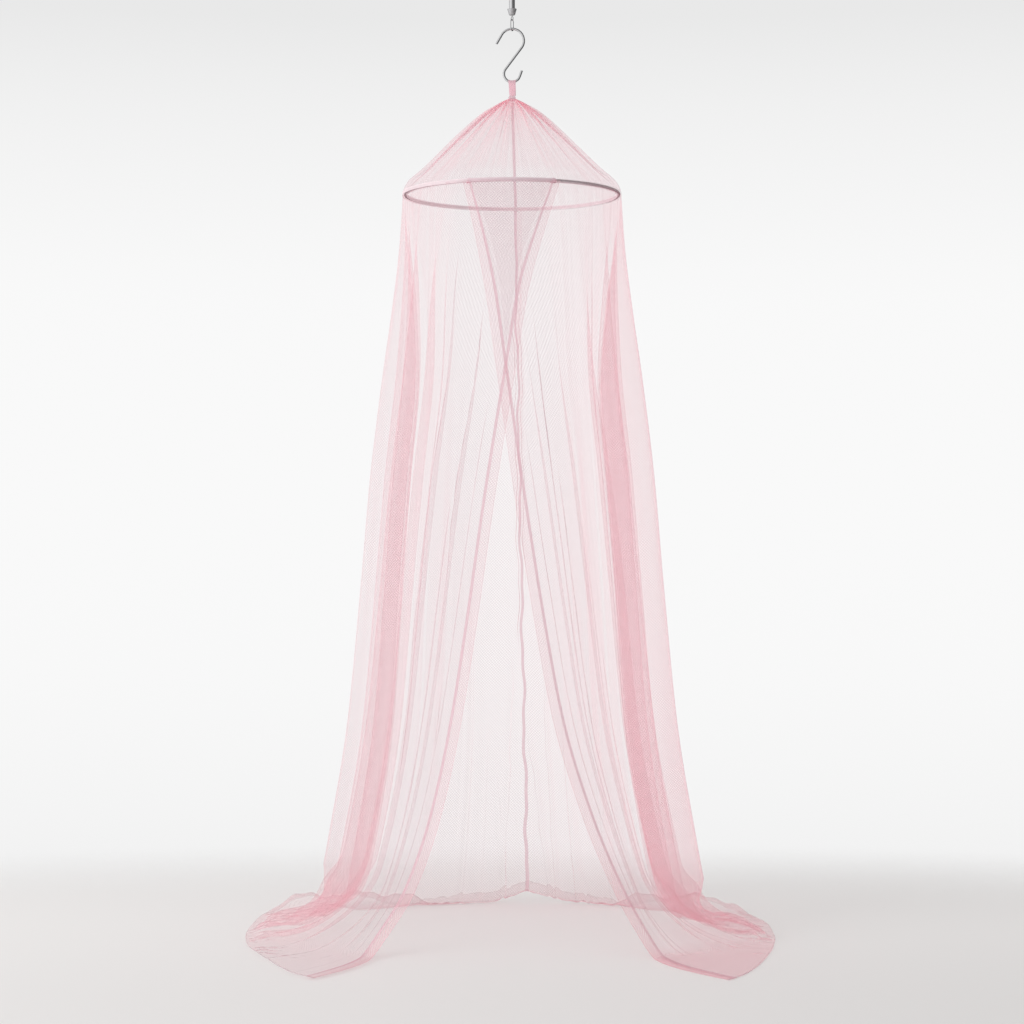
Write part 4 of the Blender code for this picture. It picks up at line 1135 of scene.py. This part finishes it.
class StageSettings(bpy.types.PropertyGroup):
    """Floor, lights and camera."""

    floor_colour: colour("Floor Colour", "Colour of the floor", 0.83, 0.815, 0.805)
    fill_light: amount("Fill Light", "Strength of the light all round", 0.80)
    lamp_power: amount("Lamp Power", "Power of the large lamp at the front left", 580.0, unit="POWER")
    camera_distance: length("Camera Distance", "Distance in front of the hoop's middle", 6.3)
    camera_height: length("Camera Height", "Height above the floor", 1.2)
    lens: amount("Lens", "Focal length", 79.52, 1.0, "CAMERA")


class CanopySettings(bpy.types.PropertyGroup):
    """All settings of the canopy."""

    net: PointerProperty(type=NetSettings)
    steel: PointerProperty(type=SteelSettings)
    stage: PointerProperty(type=StageSettings)


# ---- skirt ---------------------------------------------------------------------------------------
def skirt_falls(net):
    hanging = np.linspace(0, FALL, net.hanging_rows)[:-1]
    return np.concatenate([hanging, np.linspace(FALL, 1, net.floor_rows)])


def tape_shares():
    """Shares of the two sides of the tape along the front edge."""
    strip = FRONT_EDGE["strip"][-1]
    return STRIP_SHARE * (strip - TAPE_WIDTH / 2) / (strip + TAPE_WIDTH / 2), STRIP_SHARE


def skirt_shares(side, net):
    """Shares of the columns, close together on the folds and creases."""
    shares = [np.linspace(0, 1, net.columns), tape_shares()]
    for fold in rows_of(FOLDS[side]):
        shares.append(fold["share"] + fold["reach"] * np.linspace(-1, 1, FOLD_STEPS))
    for crease in rows_of(CREASES[side]):
        middle = crease["share"] + crease["drift"] / 2
        reach = crease["reach"] + abs(crease["drift"]) / 2
        shares.append(middle + reach * np.linspace(-1, 1, CREASE_STEPS))
    shares = np.unique(np.clip(np.concatenate(shares), 0, 1))
    kept = [shares[0]]
    for share in shares[1:]:
        if share - kept[-1] > CLOSEST or share == 1.0:
            kept.append(share)
    return np.array(kept)


def turned_hem(side, share, points, net):
    """Rows of cloth turned up, down and up again at the hem, deep at the back and narrow round the front."""
    up = points[::-1]
    away = lengths(up, 0)
    out = unit(np.cross(np.gradient(up, axis=1), np.gradient(up, axis=0))) * SIDES[side]["way"]
    depth = net.hem_front + (net.hem_depth - net.hem_front) * past(share, *HEM_DEEP_SHARE)
    rising = np.linspace(HEM_LEAST, 1, HEM_ROWS)
    made = []
    for k, parts in enumerate((rising, rising[-2::-1], rising[1:])):
        for part in parts:
            row = np.empty_like(up[0])
            for c in range(row.shape[0]):
                place = up[:, c] + HEM_GAP * (k + 1) * out[:, c]
                row[c] = [np.interp(part * depth[c], away[:, c], place[:, axis]) for axis in range(3)]
            made.append(row)
    return np.array(made)


def in_band(side, share):
    """1 where the skirt is gathered into its side folds, 0 elsewhere."""
    start, end = SIDES[side]["band"]
    return between(share, start, BAND_IN, end, BAND_OUT)


def on_rim(share):
    """1 on the crest of the outermost fold, fading out to both sides."""
    return np.exp(-(((share - RIM_SHARE) / RIM_WIDTH) ** 2))


def skirt_fullness(side, share, fall, net):
    """Layers of net at each point, more along the free edge, in side folds, at the back and on the floor, and
    more all over the right half as painted shade.
    """
    half = SIDES[side]
    _, height, floor = smooth_skirt(side, share, fall)
    strip = (net.strip_fullness - 1) * (1 - past(share, STRIP_SHARE, STRIP_FADE))
    back = (net.back_fullness - 1) * past(share, *BACK_SHARE) * short_of(height, *BACK_HEIGHT)
    seam = half["seamed"] * past(share, *SEAM_LAYERS_SHARE) * past(height, *SEAM_LAYERS_HEIGHT)
    streaks = np.zeros_like(share)
    for pitch, size in STREAKS:
        wander = STREAK_WANDER * np.sin(STREAK_TURN * height + STREAK_PHASE * pitch)
        streaks += wave(share + wander, pitch, size)
    spread = 1 - BAND_SPREAD * past(floor, *BAND_SPREAD_FLOOR)
    gathered = in_band(side, share) * spread * (half["banded"] + STREAK_FULLNESS * streaks)
    pooled = half["pooled"] * past(floor, *POOL_FLOOR) * short_of(share, *POOL_SHARE)
    # the fullness added all over is painted shade that greys the right half
    return 1 + half["closer"] + strip + back + seam + pooled + half["rim"] * on_rim(share) + gathered


class CANOPY_OT_add_skirt(bpy.types.Operator):
    """Adds the two halves of the hanging net with their folds, hems and the cloth on the floor"""

    bl_idname = "canopy.add_skirt"
    bl_label = "Add Skirt"

    def execute(self, context):
        net = context.scene.canopy.net
        for side in SIDES:
            share, fall = np.meshgrid(skirt_shares(side, net), skirt_falls(net))
            points = skirt_surface(side, share, fall)
            hem = turned_hem(side, share[0], points, net)
            layers = net.hem_fullness * (0.5 + 0.5 * past(share[0], *HEM_FULL_SHARE))
            fullness = skirt_fullness(side, share, fall, net)
            hanging = 1 - past(fall, FALL, RIM_FLOOR)
            # painted shade: the outermost fold's hanging crest is mostly left out of the bunched share, so it
            # keeps the darker single-layer and edge-on colours
            bunched = in_band(side, share) * (1 - RIM_SHADED * on_rim(share) * hanging)
            piece = add_cloth(
                "skirt_cloth_" + side,
                np.concatenate([points, hem]),
                "sheer_net",
                "net",
                "skirt_" + side,
                turned=side == "right",
                fullness=np.concatenate([fullness, np.tile(layers, (len(hem), 1))]),
                bunched=np.concatenate([bunched, np.ones_like(hem[..., 0])]),
            )
        return {"FINISHED"}


class CANOPY_OT_add_tapes(bpy.types.Operator):
    """Adds the bindings of the front edges, the back seam and the crown's seam, with their stitches"""

    bl_idname = "canopy.add_tapes"
    bl_label = "Add Bindings"

    def execute(self, context):
        net = context.scene.canopy.net
        self.add_hoop_seam()
        self.add_overlap(net)
        self.add_ties()
        for side in SIDES:
            self.add_front_edge(side, net)
        self.add_back_seams(net)
        return {"FINISHED"}

    def add_front_edge(self, side, net):
        """The rolled free edge, and the tape beside it with a row of stitches along each side."""
        turned = side == "right"
        share, fall = np.meshgrid(np.linspace(0.0, EDGE_ROLL, 2), skirt_falls(net))
        points = skirt_surface(side, share, fall, EDGE_GAP)
        add_cloth("free_edge_" + side, points, "sheer_net", "net", turned=turned, fullness=net.edge_fullness)
        share, fall = np.meshgrid(np.linspace(*tape_shares(), 4), skirt_falls(net))
        points = skirt_surface(side, share, fall, TAPE_GAP)
        add_cloth(
            "front_binding_" + side, points, "woven_binding", "tape", "front_tape_" + side, turned=turned
        )
        for row, name in ((0, "outer"), (-1, "inner")):
            path = skirt_surface(side, share, fall, STITCH_GAP)[:, row]
            add_stitches(f"front_stitches_{side}_{name}", path, net)

    def add_back_seams(self, net):
        """The tapes inside the back seam and the crown's seam."""
        share, fall = np.meshgrid((BACK_TAPE_SHARE, 1.0), skirt_falls(net))
        left, right = (skirt_surface(side, share, fall, -TAPE_GAP) for side in SIDES)
        points = np.stack([left[:, 0], (left[:, 1] + right[:, 1]) / 2, right[:, 0]], 1)
        add_cloth("back_seam_binding", points, "woven_binding", "tape", "back_seam_tape")
        down = np.linspace(CROWN_TAPE_TOP, 1.0, 60)[:, None]
        _, radius = crown_height_radius(down)
        angle = CROWN_SEAM_ANGLE + np.degrees(CROWN_TAPE_HALF / radius) * np.linspace(-1, 1, 4)
        points = crown_surface(angle, np.tile(down, (1, 4)), -TAPE_GAP)
        add_cloth("crown_seam_binding", points, "woven_binding", "tape", "crown_seam_tape", turned=True)

    def add_hoop_seam(self):
        """The crown's and the skirt's edges sewn outside the hoop, and the turned-in edge inside it."""
        angle, share = np.meshgrid(np.linspace(0, 2 * pi, 361)[:-1], np.linspace(0, 1, 5))
        off = np.abs((angle + pi / 2 + pi) % (2 * pi) - pi)
        lapped = short_of(off, np.arcsin(LAPPED_HALF / SKIRT_RADIUS), LAPPED_FADE)
        to_left = short_of(np.cos(angle), *CASING_TO_LEFT)
        fullness = CASING + CASING_LEFT * to_left + CASING_LAPPED * lapped
        height = HOOP_HEIGHT + FLOOR + HOOP_SEAM * (0.5 - share)
        points = ring_points(SKIRT_RADIUS + SEAM_OFF, angle, height)
        add_cloth("hoop_seam", points, "hoop_casing", "net", ring=True, turned=True, fullness=fullness)
        points = ring_points(HOOP_RADIUS - HOOP_TUBE - SEAM_OFF, angle, height)
        add_cloth("hoop_seam_inside", points, "hoop_casing", "net", ring=True, turned=True)
        half = np.arcsin(FRONT_EDGE["right"][0] / SKIRT_RADIUS)
        angle, share = np.meshgrid(np.linspace(-pi / 2 + half, -pi / 2 - half, 60), np.linspace(0, 1, 5))
        height = HOOP_HEIGHT + FLOOR + HOOP_SEAM * (0.5 - share)
        points = ring_points(SKIRT_RADIUS + LAPPED_OFF, angle, height)
        add_cloth("hoop_seam_lapped", points, "folded_net_edge", "net", turned=True)

    def add_ties(self):
        """The tapes' upper ends knotted round the hoop."""
        about = np.linspace(0, 2 * pi, 25)[:-1]
        for side in SIDES:
            x = -SIDES[side]["way"] * abs(FRONT_EDGE[side][0])
            turn = np.arctan2(-((HOOP_RADIUS**2 - x * x) ** 0.5), x)
            for k, shift in enumerate(TIE_SHIFTS):
                place = turn + shift + TIE_SLANT * np.sin(about + k)
                height = HOOP_HEIGHT + FLOOR + TIE_RADIUS * np.sin(about)
                path = ring_points(HOOP_RADIUS + TIE_RADIUS * np.cos(about), place, height)
                add_wire(f"tie_{side}_{k}", path, TIE_WIRE, "sewing_thread", "tape", closed=True)

    def add_overlap(self, net):
        """Net doubled between the two front edges, from the hoop to where they cross."""
        falls = np.linspace(*OVERLAP_FALLS, 60)
        height = SKIRT_TOP * (1 - falls / FALL)
        for side, half in SIDES.items():
            own = column(FRONT_EDGE, side, height)
            other = -column(FRONT_EDGE, half["other"], height)
            span = np.maximum(other - own, 0)
            around = pi + np.arcsin(OVERLAP_HALF / SKIRT_RADIUS)
            wide = span / column(RING, "side", height) / around * (1 - STRIP_SHARE)
            rows = np.flatnonzero(span > LEAST_OVERLAP)
            share = STRIP_SHARE + wide[rows, None] * np.linspace(0, 1, 24)[None, :]
            fall = np.tile(falls[rows, None], (1, 24))
            for layer in range(net.overlap_layers):
                points = skirt_surface(side, share, fall, -OVERLAP_GAP * (layer + 1))
                add_cloth(f"front_lining_{side}_{layer}", points, "sheer_net", "net", turned=side == "right")


class CANOPY_OT_add_crown(bpy.types.Operator):
    """Adds the cone of net from the gather to the hoop, with its folds"""

    bl_idname = "canopy.add_crown"
    bl_label = "Add Crown"

    def execute(self, context):
        angle, down = np.meshgrid(np.linspace(0, 360, 901)[:-1], np.linspace(0, 1, 90))
        points = crown_surface(angle, down)
        flat = np.stack([np.radians(angle) * SKIRT_RADIUS, lengths(points, 0)], -1)
        drawn = SKIRT_RADIUS / np.hypot(points[..., 0], points[..., 1]) - 1
        streaks = np.zeros_like(down)
        for count, size in CROWN_STREAKS:
            wander = CROWN_WANDER * np.sin(CROWN_WANDER_TURN * down + count)
            streaks += size * np.sin(count * (np.radians(angle) + wander))
        gathered = context.scene.canopy.net.crown_fullness * drawn / (1 + CROWN_DRAWN_LESS * drawn)
        fullness = 1 + gathered + CROWN_STREAK_FULLNESS * streaks * (1 - down) ** CROWN_STREAK_FADE
        piece = add_cloth(
            "crown_cloth",
            points,
            "sheer_net",
            "net",
            "crown_net",
            ring=True,
            turned=True,
            flat=flat,
            fullness=fullness,
        )
        return {"FINISHED"}


class CANOPY_OT_add_hoop(bpy.types.Operator):
    """Adds the bent steel hoop that the net hangs over"""

    bl_idname = "canopy.add_hoop"
    bl_label = "Add Hoop"

    def execute(self, context):
        sizes = {"Radius": HOOP_RADIUS, "Tube": HOOP_TUBE, "Height": HOOP_HEIGHT + FLOOR}
        piece = grown_piece("hoop_ring", "Bent Hoop", hoop_tree, sizes, "plated_steel")
        finish_piece(piece, "plated_steel", "steel", "hoop")
        return {"FINISHED"}


# ---- hanging hardware ----------------------------------------------------------------------------
def arc(centre, radius, start, end, count):
    """Points (x, z) along an arc, angles in degrees counter-clockwise from +X."""
    turns = np.radians(np.linspace(start, end, count))
    return np.stack([centre[0] + radius * np.cos(turns), centre[1] + radius * np.sin(turns)], -1)


def upright(flat, turn):
    """Points (x, z) stood up in a vertical plane at an angle from +X."""
    flat = np.asarray(flat)
    return np.stack([flat[:, 0] * cos(radians(turn)), flat[:, 0] * sin(radians(turn)), flat[:, 1]], -1)


def hook_path():
    """S of round bar: a tail, a wide bend, a straight slant, a small bend and a tail."""
    slant = np.degrees(np.arccos((UPPER_BEND + LOWER_BEND) / (HOOK_HIGH - HOOK_LOW)))
    upper = arc((0.0, HOOK_HIGH), UPPER_BEND, UPPER_BEND_END, -90 + slant, 60)
    lower = arc((0.0, HOOK_LOW), LOWER_BEND, 90 + slant, 360 + LOWER_BEND_END, 50)
    out, back = radians(UPPER_BEND_END + 90), radians(LOWER_BEND_END + 90)
    tail = [upper[0] + t * UPPER_TAIL * np.array((cos(out), sin(out))) for t in TAIL_STEPS[::-1]]
    tip = [lower[-1] + t * LOWER_TAIL * np.array((cos(back), sin(back))) for t in TAIL_STEPS]
    return upright(np.concatenate([tail, upper, lower, tip]), 0.0)


def link_path():
    """A tall oval of wire."""
    bend = LINK_WIDTH / 2 - LINK_WIRE
    high = LINK_TOP - LINK_WIRE - bend
    low = LINK_TOP - LINK_HEIGHT + LINK_WIRE + bend
    loop = np.concatenate([arc((0.0, high), bend, 0, 180, 24), arc((0.0, low), bend, 180, 360, 24)])
    return upright(loop, LINK_TURN)


def eye_path():
    """A shank out of the socket that curls into an open ring under the link's top."""
    ring_low = LINK_TOP - 2 * LINK_WIRE - SEAT_GAP - EYE_WIRE
    ring = arc((0.0, ring_low + EYE_BEND), EYE_BEND, 90 - EYE_OPEN_HALF, 90 + EYE_OPEN_HALF - 360, 60)
    top = SOCKET["z"][-1] - SEAT_GAP
    neck = (ring[0][0] * EYE_NECK, ring[0][1] + EYE_NECK_RISE)
    bent = (neck[0] * EYE_SHANK, neck[1] + EYE_SHANK_RISE)
    shank = np.array([(0.0, top), (0.0, top - EYE_STRAIGHT), bent, neck])
    return upright(np.concatenate([shank, ring]), EYE_TURN)


class CANOPY_OT_add_hardware(bpy.types.Operator):
    """Adds the ceiling rod, its socket and eye, the link and the S-hook"""

    bl_idname = "canopy.add_hardware"
    bl_label = "Add Hanging Hardware"

    def execute(self, context):
        rod = turned_piece("rod_bar", ROD["radius"], ROD["z"])
        finish_piece(rod, "plated_steel", "steel", "ceiling_rod")
        cup = turned_piece("rod_cup", SOCKET["radius"], SOCKET["z"])
        finish_piece(cup, "satin_steel", "steel", "rod_socket")
        add_wire("wire_eye", eye_path(), EYE_WIRE, "plated_steel", "steel", "socket_eye")
        add_wire("oval_link", link_path(), LINK_WIRE, "plated_steel", "steel", "chain_link", closed=True)
        add_wire("hook_bar", hook_path(), HOOK_WIRE, "plated_steel", "steel", "s_hook")
        return {"FINISHED"}


def loop_points(across=11, bend_steps=17, leg_steps=14):
    """Tape folded over the hook's lower bend, its legs coming together at the gather."""
    around = HOOK_WIRE + TAPE_GAP
    turns = np.linspace(0, pi, bend_steps)
    down = np.linspace(0, 1, leg_steps, endpoint=False)[:, None]
    columns = []
    for a in np.linspace(-1, 1, across):
        x = a * LOOP_WIDTH_TOP / 2
        wire = HOOK_LOW - (LOWER_BEND**2 - x * x) ** 0.5
        foot = np.array([a * LOOP_WIDTH_FOOT / 2, 0.0, LOOP_FOOT])
        front = foot + (0.0, -LOOP_FOOT_SPREAD, 0.0)
        back = foot + (LOOP_BACK_SHIFT, LOOP_FOOT_SPREAD, 0.0)
        over = np.stack([np.full(bend_steps, x), -around * np.cos(turns), wire + around * np.sin(turns)], -1)
        rising = front + (over[0] - front) * down
        falling = over[-1] + (back - over[-1]) * (1 - down[::-1])
        columns.append(np.concatenate([rising, over, falling]))
    return np.array(columns).transpose(1, 0, 2)


class CANOPY_OT_add_loop(bpy.types.Operator):
    """Adds the hanging loop of tape and the bound gather under it"""

    bl_idname = "canopy.add_loop"
    bl_label = "Add Loop and Gather"

    def execute(self, context):
        points = loop_points()
        piece = add_cloth("loop_tape", points, "loop_binding", "tape", "hanging_loop", turned=True)
        for at, name in ((1, "left"), (-2, "right")):
            add_stitches("loop_stitches_" + name, points[:, at], context.scene.canopy.net)
        share = np.linspace(0, 1, 24)[:, None]
        turn = np.linspace(0, 2 * pi, 120, endpoint=False)[None, :]
        swell = np.interp(share, GATHER["share"], GATHER["swell"])
        ridges = 0
        for count, size, twist, phase in GATHER_RIDGES:
            ridges = ridges + size * np.cos(count * turn + twist * share + phase)
        height = GATHER_BOTTOM + (GATHER_TOP - GATHER_BOTTOM) * share + 0 * turn
        points = ring_points((GATHER_RADIUS + ridges) * swell, turn, height)
        add_cloth("bound_gather", points, "woven_binding", "tape", "crown_gather", ring=True)
        return {"FINISHED"}


# ---- stage ---------------------------------------------------------------------------------------
def floor_finish(stage):
    """Pale floor that runs out into the backdrop, with painted shade that darkens it towards the front."""
    finish = Finish("pale_floor", stage.floor_colour)
    place = finish.node("ShaderNodeTexCoord", out="Object")
    x = finish.node("ShaderNodeSeparateXYZ", inputs=(place,))
    y = x.output("Y")
    smooth = {"interpolation_type": "SMOOTHSTEP"}
    out = (x / FLOOR_SIDE) ** 4.0 + ((y + FLOOR_FORWARD) / FLOOR_BACK) ** 2.0
    edge = finish.node("ShaderNodeMapRange", smooth, (out, *FLOOR_RUNS_OUT))
    # painted shade: darker towards the front, for the light that falls off there
    falloff_shade = finish.node("ShaderNodeMapRange", smooth, (y, *FLOOR_DARKENS))
    colours = opaque(stage.floor_colour), opaque(stage.floor_colour, FLOOR_NEAR_PAINTED_SHADE)
    inputs = {"Base Color": finish.mix(falloff_shade, *colours), "Roughness": 0.6, "Specular IOR Level": DULL}
    plain = finish.node("ShaderNodeBsdfPrincipled", inputs=inputs)
    gone = finish.node("ShaderNodeBsdfTransparent")
    grain = finish.node("ShaderNodeTexWhiteNoise", {"noise_dimensions": "3D"}, {"Vector": place})
    past_edge = edge.math("GREATER_THAN", grain)
    return finish.finished(finish.node("ShaderNodeMixShader", inputs=(past_edge, plain, gone)))


def add_world(stage):
    """Backdrop for the camera, even light for cloth and floor, a side-lit room for the steel to reflect."""
    world = bpy.data.worlds.new("Studio")
    bpy.context.scene.world = world
    world.use_nodes = True
    lit = Nodes(world.node_tree)
    x = lit.node("ShaderNodeSeparateXYZ", inputs=(lit.node("ShaderNodeTexCoord", out="Generated"),))
    y, z = x.output("Y"), x.output("Z")
    places = np.array([BACKDROP["place"][0], BACKDROP["place"][-1], *np.linspace(*BACKDROP_STOPS)])
    tones = column(BACKDROP, "tone", places)
    rise = lit.node("ShaderNodeValToRGB", {"stops": zip(places, tones)}, (z * BACKDROP_RISE + 0.5,))
    room = lit.node("ShaderNodeValToRGB", {"stops": ROOM_TONES}, (x * 0.5 + 0.5,))
    even = lit.node("ShaderNodeBackground", inputs={"Strength": stage.fill_light, "Color": opaque((1, 1, 1))})
    seen = lit.node("ShaderNodeBackground", inputs={"Color": rise})
    dimmed = 1.0 - y.math("MAXIMUM", 0.0) * ROOM_DARKER_BEHIND
    shine = lit.node("ShaderNodeBackground", inputs={"Color": room, "Strength": dimmed})
    camera_ray = lit.node("ShaderNodeLightPath", out="Is Camera Ray")
    light = lit.node("ShaderNodeMixShader", inputs=(camera_ray.output("Is Glossy Ray"), even, shine))
    lit.close("ShaderNodeOutputWorld", lit.node("ShaderNodeMixShader", inputs=(camera_ray, light, seen)))


class CANOPY_OT_add_stage(bpy.types.Operator):
    """Adds the floor, the backdrop, the lights and the camera"""

    bl_idname = "canopy.add_stage"
    bl_label = "Add Stage"

    def execute(self, context):
        stage = context.scene.canopy.stage
        scene = context.scene
        bpy.ops.mesh.primitive_plane_add(size=9, location=(0, 0, FLOOR))
        floor = context.active_object
        floor.name = "studio_floor"
        floor.data.materials.append(floor_finish(stage))
        add_world(stage)
        light = bpy.data.lights.new("top_softbox", "AREA")
        light.energy = stage.lamp_power
        light.shape, light.size, light.size_y = "RECTANGLE", LAMP_SIZE, LAMP_SIZE
        lamp = new_object("top_softbox", light)
        lamp.location = LAMP_PLACE
        lamp.visible_glossy = False
        lamp.rotation_euler = (Vector(LAMP_AIM) - lamp.location).to_track_quat("-Z", "Y").to_euler()
        camera = bpy.data.cameras.new("Camera")
        camera.lens = stage.lens
        camera.clip_end = 100
        eye = new_object("Camera", camera)
        eye.location = (0, -stage.camera_distance, FLOOR + stage.camera_height)
        eye.rotation_euler = (pi / 2, 0, 0)
        scene.camera = eye
        scene.cycles.transparent_max_bounces = 64
        scene.cycles.max_bounces = 8
        scene.view_settings.view_transform = "Standard"
        return {"FINISHED"}


class CANOPY_PT_panel(bpy.types.Panel):
    """Lists the canopy's settings and pieces"""

    bl_label = "Mosquito Net Canopy"
    bl_idname = "CANOPY_PT_panel"
    bl_space_type = "VIEW_3D"
    bl_region_type = "UI"
    bl_category = "Canopy"

    def draw(self, context):
        layout = self.layout
        for group in (context.scene.canopy.net, context.scene.canopy.steel, context.scene.canopy.stage):
            box = layout.box()
            for name in group.__annotations__:
                box.prop(group, name)
        for operator in OPERATORS:
            layout.operator(operator.bl_idname)


OPERATORS = (
    CANOPY_OT_add_hoop,
    CANOPY_OT_add_hardware,
    CANOPY_OT_add_loop,
    CANOPY_OT_add_crown,
    CANOPY_OT_add_skirt,
    CANOPY_OT_add_tapes,
    CANOPY_OT_add_stage,
)
CLASSES = (NetSettings, SteelSettings, StageSettings, CanopySettings, *OPERATORS, CANOPY_PT_panel)


def register():
    for made in CLASSES:
        bpy.utils.register_class(made)
    bpy.types.Scene.canopy = PointerProperty(type=CanopySettings)


def unregister():
    del bpy.types.Scene.canopy
    for made in reversed(CLASSES):
        bpy.utils.unregister_class(made)


def main():
    register()
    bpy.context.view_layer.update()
    bpy.ops.canopy.add_hoop()
    bpy.ops.canopy.add_hardware()
    bpy.ops.canopy.add_loop()
    bpy.ops.canopy.add_crown()
    bpy.ops.canopy.add_skirt()
    bpy.ops.canopy.add_tapes()
    bpy.ops.canopy.add_stage()


if __name__ == "__main__":
    main()
